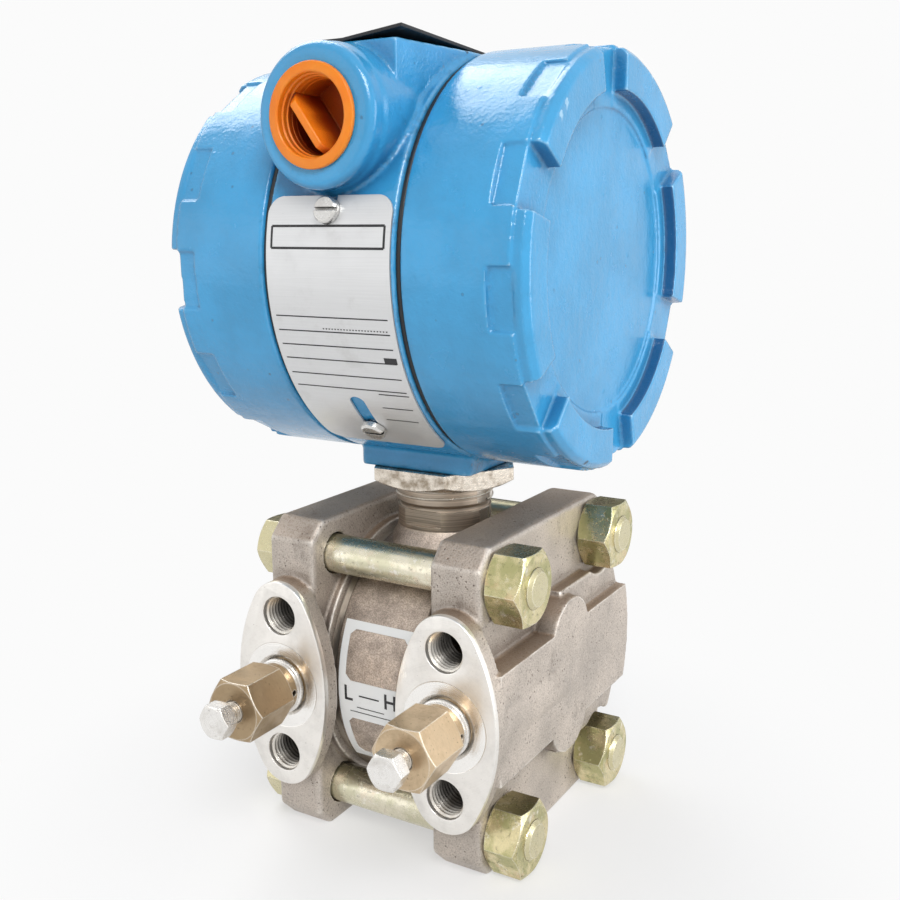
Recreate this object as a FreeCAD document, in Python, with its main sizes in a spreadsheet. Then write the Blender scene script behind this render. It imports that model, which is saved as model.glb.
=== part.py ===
"""Differential pressure transmitter with a sensor cell clamped between two process flanges.

The process face, where a manifold bolts on, lies in the XZ plane with its centre at the
origin and looks along -Y.  X runs along the flange bolts, from the low side to the high
side, and Z points up, to the electronics housing.  All sizes are in millimetres.
"""

import FreeCAD
import Part
import math
import os
import re
import Sketcher

# Every driving size: alias, value, and what it is.
SIZES = [
    # sensor cell and its neck
    ("cell_radius", 39.0, "cell body"),
    ("cell_half", 13.5, "half the length of the cast part of the cell"),
    ("rim_drop", 1.0, "turned rim below the cast part"),
    ("rim_width", 2.9, "width of a turned rim"),
    ("diaphragm_inset", 14.0, "edge of the cell to its isolating diaphragm"),
    ("diaphragm_depth", 1.2, "recess that holds a diaphragm"),
    ("diaphragm_sheet", 0.3, "thickness of a diaphragm"),
    ("seal_inset", 8.0, "edge of the cell to the middle of the flange gasket"),
    ("seal_width", 3.0, "width of the flange gasket"),
    ("seal_height", 1.6, "thickness of the flange gasket"),
    ("slip_gap", 0.05, "clearance round a piece that lies in a recess"),
    ("neck_radius", 13.9, "neck above the cell"),
    ("neck_flat", 12.5, "neck centre to a spanner flat"),
    ("neck_stand", 8.0, "top of the neck above the cell"),
    ("neck_flare", 3.5, "flare where the neck meets the cell"),
    ("stem_radius", 14.3, "threaded stem above the neck"),
    ("stem_groove", 1.0, "depth and width of the groove under the thread"),
    ("stem_reach", 12.5, "length of stem inside the housing"),
    ("foot_stand", 13.0, "top of the neck to the housing"),
    ("nut_flats", 40.0, "lock nut across flats"),
    ("nut_height", 5.4, "lock nut thickness"),
    ("nut_gap", 0.1, "gap between lock nut and housing"),
    ("thread_gap", 0.06, "radial clearance of a thread"),
    ("edge_break", 0.5, "small bevel on turned and machined edges"),
    ("over", 1.0, "length by which a cutting shape runs past what it cuts"),
    # process flanges
    ("boss_height", 2.6, "height of the round boss that clamps the cell"),
    ("clamp_margin", 1.0, "that boss beyond the cell, in radius"),
    ("flange_thick", 15.5, "thickness of a flange at its bolts"),
    ("port_set", 8.0, "inner face of a flange to its port"),
    ("bolt_in", 9.9, "edge of the cell to a flange bolt, along Y"),
    ("bolt_down", 3.15, "edge of the cell to a flange bolt, along Z"),
    ("lobe_margin", 11.1, "bolt centre to the edge of the flange"),
    ("lobe_corner", 5.5, "cut-off front corner of the flange"),
    ("lobe_round", 10.0, "rounding of the rear corners"),
    ("flange_edge", 1.6, "rounded edge of the flange casting"),
    ("chamber_depth", 1.5, "pressure chamber in front of the diaphragm"),
    ("relief_height", 7.0, "raised middle band above the flange face"),
    ("relief_half", 15.5, "half the height of the middle band"),
    ("relief_set", 4.3, "process face to the front of the middle band"),
    ("back_margin", 6.5, "round back of the flange beyond the cell"),
    ("back_height", 3.9, "round back above the flange face"),
    ("back_half", 25.0, "half the height of the round back"),
    ("bump_radius", 12.0, "raised bump above and below the band"),
    ("bump_rise", 11.5, "cell axis to the middle of a bump"),
    ("bump_back", 1.5, "bump centre behind the cell axis"),
    ("spot_radius", 13.0, "clearance cut round a nut"),
    # oval process pads
    ("pad_half", 15.4, "half the width of a pad"),
    ("pad_end", 9.9, "radius of a pad's ends"),
    ("pad_bolt", 20.65, "port axis to a pad's threaded hole"),
    ("pad_thick", 6.2, "thickness of a pad"),
    ("pad_room", 1.1, "gap between a pad and the cell"),
    ("pad_hole", 5.55, "radius of a pad's threaded hole"),
    ("pad_hole_deep", 16.0, "depth of a pad's threaded hole"),
    ("port_hole", 7.2, "radius of a pipe-threaded port"),
    ("port_deep", 22.0, "depth of a pipe-threaded port"),
    ("port_lead", 1.9, "chamfer of a pipe-threaded port"),
    ("passage", 2.5, "radius of the drilled passage to the chamber"),
    # flange bolts and nuts
    ("bolt_radius", 5.55, "flange bolt shank"),
    ("bolt_room", 0.4, "clearance of a bolt in its hole"),
    ("head_flats", 15.9, "bolt head across flats"),
    ("head_height", 7.1, "bolt head"),
    ("bolt_nut_flats", 19.05, "flange nut across flats"),
    ("bolt_nut_height", 10.3, "flange nut"),
    ("bolt_stand", 1.2, "bolt end beyond its nut"),
    ("hex_bevel", 0.2, "flat of a hexagon inside its round bevel"),
    # drain and vent valves
    ("valve_neck", 6.9, "radius of the valve's round neck"),
    ("valve_deep", 14.0, "length of the valve inside its port"),
    ("valve_hex_start", 5.2, "process face to the valve's hexagon"),
    ("valve_hex_length", 15.0, "length of the valve's hexagon"),
    ("valve_flats", 16.4, "valve body across flats"),
    ("vent_hole", 0.9, "radius of the vent hole in the neck"),
    ("vent_place", 2.7, "process face to the vent hole"),
    ("screw_radius", 3.1, "vent screw thread"),
    ("screw_deep", 12.0, "length of vent screw inside the valve"),
    ("screw_flats", 10.3, "vent screw head across flats"),
    ("screw_neck", 3.6, "thread showing between valve and screw head"),
    ("screw_head", 4.6, "vent screw head"),
    # housing casting
    ("housing_radius", 55.0, "outside of the housing"),
    ("seam_offset", 20.0, "housing centre to the middle of a cover seal"),
    ("seam_gap", 1.6, "gap between housing and cover that the seal fills"),
    ("spigot_step", 5.0, "housing to the threaded spigot that a cover screws on"),
    ("spigot_wall", 5.0, "wall of a spigot"),
    ("spigot_length", 14.0, "length of a spigot"),
    ("wall_start", 11.0, "housing centre to the dividing wall"),
    ("wall_thick", 5.0, "dividing wall"),
    ("ear_set", 8.0, "housing surface to the front of the conduit block"),
    ("ear_taper", 3.7, "narrowing of the block towards its front"),
    ("ear_shoulder", 14.0, "housing axis to where the block is full width"),
    ("ear_inset", 1.5, "top of the housing to the flat on the block"),
    ("ear_height", 26.5, "height of the block's sides"),
    ("conduit_down", 18.0, "flat on the block to the conduit axis"),
    ("conduit_stand", 4.0, "conduit mouth beyond the housing"),
    ("conduit_wall", 6.5, "wall of the ring at a conduit mouth"),
    ("conduit_swell", 0.4, "conduit boss beyond that ring, in radius"),
    ("conduit_ring", 5.0, "length of that ring"),
    ("conduit_bevel", 1.2, "bevel of the mouth"),
    ("conduit_bore", 10.5, "radius of the conduit thread"),
    ("conduit_deep", 39.0, "length of the conduit thread"),
    ("foot_wall", 4.0, "stem to the side of the housing foot"),
    ("foot_lip", 3.2, "stem to the front of the housing foot"),
    ("foot_drop", 3.0, "housing foot below the housing"),
    ("foot_edge", 1.5, "bevelled upright edges of the foot"),
    # covers
    ("cover_length", 34.0, "middle of the seal to the end of the lugs"),
    ("lug_height", 4.0, "height of the lugs"),
    ("lug_wall", 11.5, "housing surface to the inside of the lugs"),
    ("cover_step", 0.8, "step between side and lugs"),
    ("cover_bevel", 1.6, "bevel on the lugs"),
    ("disc_drop", 0.6, "cover disc below the foot of the lugs"),
    ("ledge_rise", 0.3, "ledge inside the lugs above their foot"),
    ("ledge_width", 4.0, "width of that ledge"),
    ("cover_wall", 4.0, "end wall of a cover"),
    ("cover_shoulder", 3.0, "inside of a cover beyond its thread, in radius"),
    ("notch_angle", 17.0, "angle of a notch between two lugs"),
    ("pocket_set", 6.2, "foot of the lugs to the start of a grip pocket"),
    ("pocket_length", 6.8, "length of a grip pocket"),
    ("pocket_width", 15.2, "width of a grip pocket"),
    ("pocket_depth", 1.4, "depth of a grip pocket"),
    ("lug_count", 6, "lugs on a cover"),
    ("pocket_count", 12, "grip pockets on a cover"),
    ("cover_seal_inset", 0.8, "cover seal below the housing surface"),
    ("cover_seal_gap", 0.1, "clearance between seal and cover"),
    ("right_turn", 6.7, "turn of the right cover from a notch at the top"),
    ("left_turn", 25.8, "turn of the left cover from a notch at the top"),
    # conduit plugs
    ("plug_rim", 1.8, "flange of a conduit plug beyond the thread"),
    ("plug_flange", 1.4, "thickness of that flange"),
    ("plug_length", 13.0, "length of a plug inside the conduit"),
    ("plug_wall", 1.4, "wall of a plug"),
    ("plug_web", 3.2, "thickness of the grip web across a plug"),
    ("plug_web_sink", 1.2, "web below the plug's rim"),
    ("plug_tilt", 128.0, "tilt of the web"),
    ("plug_gap", 0.1, "clearance between plug flange and conduit mouth"),
    # nameplate and its screws
    ("plate_sheet", 0.6, "nameplate thickness"),
    ("plate_gap", 0.15, "nameplate to housing"),
    ("plate_inset", 1.4, "middle of the seal to the side of the nameplate"),
    ("plate_upper", 18.2, "angle of its upper edge above the housing axis"),
    ("plate_lower", 59.5, "angle of its lower edge below the housing axis"),
    ("plate_corner", 4.5, "rounding of its corners"),
    ("slot_half", 2.3, "half the width of a slot in the nameplate"),
    ("slide_angle", 11.0, "angle that the nameplate slides through"),
    ("upper_screw", 14.3, "angle of the upper screw above the housing axis"),
    ("lower_screw", 49.8, "angle of the lower screw below the housing axis"),
    ("head_gap", 0.1, "clearance between a screw head and the nameplate"),
    ("screw_shank", 1.9, "nameplate screw thread"),
    ("screw_cap", 3.4, "nameplate screw head"),
    ("screw_rise", 1.9, "height of that head"),
    ("screw_bite", 7.0, "length of the screw in the housing"),
    ("adjust_angle", 10.4, "angle of the zero and span screws"),
    ("adjust_half", 11.0, "zero or span screw beside the middle"),
    ("adjust_radius", 2.4, "head of an adjusting screw"),
    ("adjust_sink", 0.8, "adjusting screw below the housing surface"),
    ("adjust_length", 7.5, "adjusting screw"),
    ("adjust_head", 2.5, "height of its head"),
    ("screw_slot", 0.9, "width of a screwdriver slot"),
    # tag on top
    ("tag_sheet", 0.8, "thickness of the top tag"),
    ("tag_inset", 2.0, "side of the housing to the side of the tag"),
    ("tag_lift", 2.0, "rise of the tag's bent corner"),
    ("tag_fold_side", 17.0, "length of the bent corner along the front"),
    ("tag_fold_back", 42.0, "length of the bent corner along the side"),
    # inside the housing
    ("block_room", 7.0, "terminal block to the wall of its compartment"),
    ("block_thick", 11.0, "terminal block thickness"),
    ("rail_height", 5.0, "rail of the terminal block above its face"),
    ("rail_half", 9.0, "half the height of the rail"),
    ("bay_depth", 3.5, "depth of a bay in the rail"),
    ("terminal_pitch", 16.0, "between terminal screws"),
    ("terminal_rib", 2.0, "rib between two bays"),
    ("terminal_radius", 3.4, "terminal screw head"),
    ("terminal_head", 2.2, "height of that head"),
    ("terminal_bite", 1.5, "length of its thread"),
    ("board_room", 4.0, "circuit board to the wall of its compartment"),
    ("board_sheet", 1.6, "circuit board thickness"),
    ("board_first", 6.0, "dividing wall to the first board"),
    ("board_pitch", 11.0, "between the boards"),
    ("chip_height", 2.0, "part on a circuit board"),
    ("chip_half", 7.0, "half the width of that part"),
    ("post_radius", 3.0, "board post"),
    ("post_inset", 7.0, "edge of a board to its posts"),
    ("post_screw", 2.7, "board screw head"),
    ("post_screw_head", 1.8, "height of a board screw head"),
    # cell label
    ("label_sheet", 0.2, "cell label thickness"),
    ("label_half", 12.0, "half the width of the cell label"),
    ("label_upper", 29.0, "angle of its upper edge above the process axis"),
    ("label_lower", 37.0, "angle of its lower edge below the process axis"),
    ("label_border", 3.5, "angle of the border above and below the windows"),
    ("label_text_upper", 4.0, "angle of the upper window's foot above the process axis"),
    ("label_text_lower", 13.0, "angle of the lower window's head below the process axis"),
    ("window_half", 9.7, "half the width of a window in the label"),
    ("window_corner", 1.6, "bevelled corner of a window"),
]

# Sizes that follow from the ones above.
FOLLOWING = {
    "rim_radius": "cell_radius - rim_drop",
    "cell_end": "cell_half + rim_width",
    "diaphragm_radius": "cell_radius - diaphragm_inset",
    "seal_radius": "cell_radius - seal_inset",
    "neck_top": "cell_radius + neck_stand",
    "foot_rise": "neck_top + foot_stand",
    "port_face": "cell_radius + pad_room + pad_thick",
    "flange_inner": "cell_end + boss_height",
    "flange_outer": "flange_inner + flange_thick",
    "port_half": "flange_inner + port_set",
    "bolt_deep": "cell_radius - bolt_in",
    "bolt_rise": "cell_radius - bolt_down",
    "bolt_hole": "bolt_radius + bolt_room",
    "clamp_radius": "cell_radius + clamp_margin",
    "relief_out": "flange_outer + relief_height",
    "relief_front": "port_face - relief_set",
    "back_radius": "cell_radius + back_margin",
    "back_out": "flange_outer + back_height",
    "valve_hex_end": "valve_hex_start + valve_hex_length",
    "housing_height": "foot_rise + foot_drop + housing_radius",
    "foot_low": "housing_radius + foot_drop",
    "housing_face": "seam_offset - seam_gap / 2",
    "spigot_end": "housing_face + spigot_length",
    "spigot_radius": "housing_radius - spigot_step",
    "bore_radius": "spigot_radius - spigot_wall",
    "wall_end": "wall_start + wall_thick",
    "ear_front": "housing_radius - ear_set",
    "ear_half": "housing_face - ear_taper",
    "ear_top": "housing_radius - ear_inset",
    "conduit_rise": "ear_top - conduit_down",
    "conduit_face": "housing_radius + conduit_stand",
    "conduit_mouth": "conduit_bore + conduit_wall",
    "foot_half": "stem_radius + foot_wall",
    "foot_deep": "stem_radius + foot_lip",
    "cover_lip": "seam_offset + seam_gap / 2",
    "cover_end": "seam_offset + cover_length",
    "cover_edge": "cover_end - lug_height",
    "cover_disc": "cover_edge - disc_drop",
    "cover_ledge": "cover_edge + ledge_rise",
    "lug_radius": "housing_radius - lug_wall",
    "ledge_radius": "lug_radius - ledge_width",
    "cover_thread": "spigot_radius + thread_gap",
    "cover_bore": "spigot_radius - cover_shoulder",
    "cover_side": "housing_radius - cover_step",
    "cover_seal": "housing_radius - cover_seal_inset",
    "plug_radius": "conduit_bore + plug_rim",
    "plug_barrel": "conduit_bore - thread_gap",
    "plug_hollow": "plug_barrel - plug_wall",
    "plate_inner": "housing_radius + plate_gap",
    "plate_outer": "plate_inner + plate_sheet",
    "plate_half": "seam_offset - plate_inset",
    "tag_half": "housing_face - tag_inset",
    "block_radius": "bore_radius - block_room",
    "block_face": "wall_start - block_thick",
    "board_radius": "bore_radius - board_room",
    "post_circle": "board_radius - post_inset",
}

VALUES = {alias: value for alias, value, note in SIZES}

doc = FreeCAD.newDocument("PressureTransmitter")
sheet = doc.addObject("Spreadsheet::Sheet", "Sizes")
for row, (alias, value, note) in enumerate(SIZES, 1):
    sheet.set(f"A{row}", note)
    sheet.set(f"B{row}", str(value))
    sheet.setAlias(f"B{row}", alias)
doc.recompute()

SUB_PARTS = []

# Turns that lay a shape's own Z axis along X, Y, Z, -Y ("front") or -X ("left").
TURNS = {
    "x": FreeCAD.Rotation(FreeCAD.Vector(1, 1, 1), 120),
    "y": FreeCAD.Rotation(FreeCAD.Vector(1, 0, 0), -90),
    "z": FreeCAD.Rotation(),
    "front": FreeCAD.Rotation(FreeCAD.Vector(1, 0, 0), 90),
    "left": FreeCAD.Rotation(FreeCAD.Vector(0, 0, 1), 180) * FreeCAD.Rotation(FreeCAD.Vector(1, 1, 1), 120),
}

# What each group's own origin adds to y and z: the cell axis, or the housing axis.
FRAMES = {
    "local": ("0", "0"),
    "cell": ("port_face", "0"),
    "housing": ("port_face", "housing_height"),
}


def bind(text):
    """Turn the names in an expression into cells of the sheet."""
    def cell(match):
        name = match.group()
        if name in FOLLOWING:
            return f"({bind(FOLLOWING[name])})"
        return f"Sizes.{name}" if name in VALUES else name
    return re.sub(r"[a-z_]+", cell, str(text))


def place(obj, x="0", y="0", z="0", axis="z", frame="local"):
    """Put an object at x, y, z of a group's frame with its own Z axis along `axis`."""
    deep, rise = FRAMES[frame]
    obj.Placement = FreeCAD.Placement(FreeCAD.Vector(), TURNS[axis])
    obj.setExpression("Placement.Base.x", bind(x))
    obj.setExpression("Placement.Base.y", bind(f"({y}) + {deep}"))
    obj.setExpression("Placement.Base.z", bind(f"({z}) + {rise}"))
    return obj


def tilt(obj, angle, reach="0", x="0", frame="local"):
    """Put an object's own Z axis at an angle above -Y, its foot `reach` out from the X axis."""
    deep, rise = FRAMES[frame]
    obj.Placement = FreeCAD.Placement(FreeCAD.Vector(), FreeCAD.Rotation(FreeCAD.Vector(1, 0, 0), 10))
    obj.setExpression("Placement.Rotation.Angle", bind(f"90 - ({angle})"))
    obj.setExpression("Placement.Base.x", bind(x))
    obj.setExpression("Placement.Base.y", bind(f"-cos({angle}) * ({reach}) + {deep}"))
    obj.setExpression("Placement.Base.z", bind(f"sin({angle}) * ({reach}) + {rise}"))
    return obj


def primitive(kind, name, where, **sizes):
    """Add a Part primitive with its sizes bound to the sheet."""
    obj = doc.addObject(f"Part::{kind}", name)
    for key, text in sizes.items():
        obj.setExpression(key, bind(text))
    return place(obj, **where)


def cylinder(name, radius, length, **where):
    """A cylinder along its own Z axis."""
    return primitive("Cylinder", name, where, Radius=radius, Height=length)


def cone(name, start, end, length, **where):
    """A cone along its own Z axis, from one radius to another."""
    return primitive("Cone", name, where, Radius1=start, Radius2=end, Height=length)


def hexagon(name, flats, length, **where):
    """A hexagonal prism along its own Z axis, given across its flats."""
    obj = primitive("Prism", name, where, Circumradius=f"({flats}) / 2 / cos(30)", Height=length)
    obj.Polygon = 6
    return obj


def box(name, x, y, z, frame="local"):
    """A box between the two ends given for each axis."""
    obj = doc.addObject("Part::Box", name)
    for key, (low, high) in (("Length", x), ("Width", y), ("Height", z)):
        obj.setExpression(key, bind(f"({high}) - ({low})"))
    return place(obj, x[0], y[0], z[0], frame=frame)


def sketch(body, name, plane, points, lift="0", turn="0"):
    """A closed polygon on one of the body's own planes, each corner bound to the sheet."""
    outline = body.newObject("Sketcher::SketchObject", name)
    support = [item for item in body.Origin.OriginFeatures if item.Role == plane][0]
    outline.AttachmentSupport = [(support, "")]
    outline.MapMode = "FlatFace"
    outline.AttachmentOffset = FreeCAD.Placement(FreeCAD.Vector(), FreeCAD.Rotation(FreeCAD.Vector(0, 0, 1), 10))
    outline.setExpression("AttachmentOffset.Rotation.Angle", bind(turn))
    outline.setExpression("AttachmentOffset.Base.z", bind(lift))
    count = len(points)
    rough = [FreeCAD.Vector(math.cos(math.tau * k / count), math.sin(math.tau * k / count), 0) for k in range(count)]
    for k in range(count):
        outline.addGeometry(Part.LineSegment(rough[k], rough[(k + 1) % count]))
    for k in range(count):
        outline.addConstraint(Sketcher.Constraint("Coincident", k, 2, (k + 1) % count, 1))
    for k, (across, along) in enumerate(points):
        for kind, text in (("DistanceX", across), ("DistanceY", along)):
            index = outline.addConstraint(Sketcher.Constraint(kind, -1, 1, k, 1, 0.0))
            outline.setExpression(f"Constraints[{index}]", bind(text))
    return outline


def new_body(name):
    """An empty PartDesign body."""
    return doc.addObject("PartDesign::Body", name)


def axis_of(body, role):
    """One of a body's own origin axes, as a feature reference."""
    return ([item for item in body.Origin.OriginFeatures if item.Role == role][0], [""])


def revolve(body, outline, role, angle="360"):
    """Turn a sketch round one of the body's own axes."""
    feature = body.newObject("PartDesign::Revolution", "Revolve")
    feature.Profile = outline
    feature.ReferenceAxis = axis_of(body, role)
    feature.setExpression("Angle", bind(angle))
    return feature


def lathe(name, points, **where):
    """A turned body about its own Z axis, from (radius, along) corners."""
    body = new_body(name)
    revolve(body, sketch(body, f"{name}Profile", "XZ_Plane", points), "Z_Axis")
    return place(body, **where)


def prism(name, points, length, **where):
    """A polygon padded along its own Z axis."""
    body = new_body(name)
    feature = body.newObject("PartDesign::Pad", "Pad")
    feature.Profile = sketch(body, f"{name}Outline", "XY_Plane", points)
    feature.setExpression("Length", bind(length))
    return place(body, **where)


def pocket(body, outline, depth):
    """Cut a sketch into a body, away from the sketch's normal."""
    feature = body.newObject("PartDesign::Pocket", "Pocket")
    feature.Profile = outline
    feature.setExpression("Length", bind(depth))
    return feature


def polar(body, feature, role, count):
    """Repeat a feature round one of the body's own axes."""
    pattern = body.newObject("PartDesign::PolarPattern", "Pattern")
    pattern.Originals = [feature]
    pattern.Axis = axis_of(body, role)
    pattern.Angle = 360
    pattern.setExpression("Occurrences", bind(count))
    body.Tip = pattern
    return pattern


def fuse(name, *shapes, frame="local"):
    """Join shapes."""
    obj = doc.addObject("Part::MultiFuse", name)
    obj.Shapes = list(shapes)
    obj.Refine = True
    return place(obj, frame=frame)


def common(name, *shapes, frame="local"):
    """Keep what all the shapes share."""
    obj = doc.addObject("Part::MultiCommon", name)
    obj.Shapes = list(shapes)
    return place(obj, frame=frame)


def cut(name, base, *tools, frame="local"):
    """Take tools away from a shape."""
    obj = doc.addObject("Part::Cut", name)
    obj.Base = base
    obj.Tool = tools[0] if len(tools) == 1 else fuse(f"{name}Tools", *tools)
    return place(obj, frame=frame)


def mirrored(name, source):
    """The low-side twin of a high-side shape."""
    obj = doc.addObject("Part::Mirroring", name)
    obj.Source = source
    obj.Normal = FreeCAD.Vector(1, 0, 0)
    return obj


def near(first, second):
    """Whether two lengths are the same."""
    return math.isclose(first, second, abs_tol=1e-5)


def rounded(name, base, alias, chosen, kind="Fillet", frame="local"):
    """Round or bevel the edges that a test picks, by a size from the sheet."""
    doc.recompute()
    size = VALUES[alias]
    obj = doc.addObject(f"Part::{kind}", name)
    obj.Base = base
    room = base.Shape.BoundBox
    obj.Edges = [(index, size, size) for index, edge in enumerate(base.Shape.Edges, 1) if chosen(edge, room)]
    return place(obj, frame=frame)


def runs_along(edge, axis):
    """Whether a straight edge runs along one of X, Y, Z (0, 1, 2)."""
    if edge.Curve.TypeId != "Part::GeomLine":
        return False
    direction = edge.Curve.Direction
    return near(abs(direction[axis]), 1)


def keep(obj, node):
    """Name a finished sub-part, so that it is checked and written."""
    obj.Label = node
    SUB_PARTS.append(obj)
    return obj


def bevelled_hexagon(name, flats, length, start_bevel, end_bevel, **where):
    """A hexagonal prism whose corners are turned off at one end or both."""
    reach = f"({flats}) / 2 / cos(30) + hex_bevel / 20"
    face = f"({flats}) / 2 - hex_bevel"
    drop = f"(({reach}) - ({face})) * tan(30)"
    points = [("0", "0"), (face if start_bevel else reach, "0")]
    if start_bevel:
        points.append((reach, drop))
    points.append((reach, f"({length}) - {drop}" if end_bevel else length))
    if end_bevel:
        points.append((face, length))
    points.append(("0", length))
    blank = lathe(f"{name}Blank", points)
    prism_part = hexagon(f"{name}Prism", flats, length)
    shape = common(name, prism_part, blank)
    return place(shape, **where)


def ring(name, inner, outer, start, end, **where):
    """A plain ring between two radii."""
    return lathe(name, [(inner, start), (outer, start), (outer, end), (inner, end)], **where)


# ---------------------------------------------------------------- sensor cell


def sensor_module():
    """Cell body, neck and threaded stem, one welded and machined piece."""
    half = "cell_end"
    cell = lathe("CellBody", [
        ("0", f"-({half}) + diaphragm_depth"),
        ("diaphragm_radius", f"-({half}) + diaphragm_depth"),
        ("diaphragm_radius", f"-({half})"),
        ("seal_radius - seal_width / 2", f"-({half})"),
        ("seal_radius - seal_width / 2", f"-({half}) + seal_height"),
        ("seal_radius + seal_width / 2", f"-({half}) + seal_height"),
        ("seal_radius + seal_width / 2", f"-({half})"),
        ("rim_radius - edge_break", f"-({half})"),
        ("rim_radius", f"-({half}) + edge_break"),
        ("rim_radius", "-cell_half"),
        ("cell_radius - edge_break", "-cell_half"),
        ("cell_radius", "-cell_half + edge_break"),
        ("cell_radius", "cell_half - edge_break"),
        ("cell_radius - edge_break", "cell_half"),
        ("rim_radius", "cell_half"),
        ("rim_radius", f"({half}) - edge_break"),
        ("rim_radius - edge_break", half),
        ("seal_radius + seal_width / 2", half),
        ("seal_radius + seal_width / 2", f"({half}) - seal_height"),
        ("seal_radius - seal_width / 2", f"({half}) - seal_height"),
        ("seal_radius - seal_width / 2", half),
        ("diaphragm_radius", half),
        ("diaphragm_radius", f"({half}) - diaphragm_depth"),
        ("0", f"({half}) - diaphragm_depth"),
    ], axis="x")
    neck_bar = cylinder("NeckBar", "neck_radius", "neck_top - cell_radius / 2", z="cell_radius / 2")
    flare = lathe("NeckFlare", [
        ("0", "cell_radius * 0.8"),
        ("neck_radius + neck_flare", "cell_radius * 0.8"),
        ("neck_radius + neck_flare", "cell_radius - neck_flare"),
        ("neck_radius + neck_flare * 0.3", "cell_radius"),
        ("neck_radius", "cell_radius + neck_flare * 0.6"),
        ("0", "cell_radius + neck_flare * 0.6"),
    ])
    room = box("FlareRoom", ("-cell_half + edge_break", "cell_half - edge_break"), ("-cell_radius", "cell_radius"),
               ("0", "neck_top"))
    joined = fuse("CellAndNeck", cell, neck_bar, common("NeckFoot", flare, room))
    flats = [box(f"NeckFlat{k}", ("-neck_radius", "neck_radius"), span, ("cell_radius + neck_flare", "neck_top + over"))
             for k, span in enumerate((("-neck_radius - over", "-neck_flat"), ("neck_flat", "neck_radius + over")))]
    flatted = cut("NeckFlatted", joined, *flats)
    stem_top = "foot_rise + stem_reach"
    stem = lathe("Stem", [
        ("0", "neck_top"),
        ("stem_radius - stem_groove", "neck_top"),
        ("stem_radius - stem_groove", "neck_top + stem_groove"),
        ("stem_radius", "neck_top + 2 * stem_groove"),
        ("stem_radius", f"{stem_top} - 2 * edge_break"),
        ("stem_radius - 2 * edge_break", stem_top),
        ("0", stem_top),
    ])
    keep(fuse("SensorModule", flatted, stem, frame="cell"), "sensor_module")


def lock_nut():
    """Thin hexagon nut that locks the housing on the threaded stem."""
    low = "foot_rise - nut_gap - nut_height"
    blank = bevelled_hexagon("LockNutBlank", "nut_flats", "nut_height", True, False, z=low)
    hole = cylinder("LockNutHole", "stem_radius + thread_gap", "nut_height + 2 * over", z=f"{low} - over")
    keep(cut("LockNut", blank, hole, frame="cell"), "lock_nut")


def diaphragms():
    """Thin isolating diaphragms, each with one raised ring, in their recesses on the cell."""
    seat = "cell_end - diaphragm_depth"
    high = lathe("DiaphragmSheet", [
        ("0", seat),
        ("diaphragm_radius - 2 * slip_gap", seat),
        ("diaphragm_radius - 2 * slip_gap", f"{seat} + diaphragm_sheet"),
        ("diaphragm_radius * 0.7", f"{seat} + diaphragm_sheet"),
        ("diaphragm_radius * 0.6", f"{seat} + 2 * diaphragm_sheet"),
        ("diaphragm_radius * 0.5", f"{seat} + diaphragm_sheet"),
        ("0", f"{seat} + diaphragm_sheet"),
    ], axis="x", frame="cell")
    keep(high, "diaphragm_high")
    keep(mirrored("DiaphragmMirror", high), "diaphragm_low")


def flange_gaskets():
    """Ring gaskets in the grooves on the cell's ends."""
    half = "cell_end"
    high = ring("Gasket", "seal_radius - seal_width / 2 + slip_gap", "seal_radius + seal_width / 2 - slip_gap",
                f"{half} - seal_height", half, axis="x", frame="cell")
    keep(high, "flange_gasket_high")
    keep(mirrored("GasketMirror", high), "flange_gasket_low")


# ------------------------------------------------------------ process flanges


def oval_pad():
    """Oval pad: two arcs of a large circle between two round ends."""
    swing = "((pad_half^2 + pad_bolt^2 - pad_end^2) / (2 * (pad_half - pad_end)))"
    tangent = f"(pad_bolt * {swing} / ({swing} - pad_end))"
    start = "-port_face"
    arcs = [cylinder(f"PadArc{k}", swing, "pad_thick", x=f"port_half {sign} ({swing} - pad_half)", y=start, axis="y")
            for k, sign in enumerate("-+")]
    middle = box("PadMiddle", ("port_half - pad_half", "port_half + pad_half"),
                 (start, f"{start} + pad_thick"), (f"-{tangent}", tangent))
    ends = [cylinder(f"PadEnd{k}", "pad_end", "pad_thick", x="port_half", y=start, z=f"{sign}pad_bolt", axis="y")
            for k, sign in enumerate(("", "-"))]
    return fuse("OvalPad", common("PadLens", *arcs, middle), *ends)


def bolt_places():
    """The four flange bolts, as expressions for y and z."""
    return [(f"{deep}bolt_deep", f"{rise}bolt_rise") for deep in ("-", "") for rise in ("-", "")]


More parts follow.
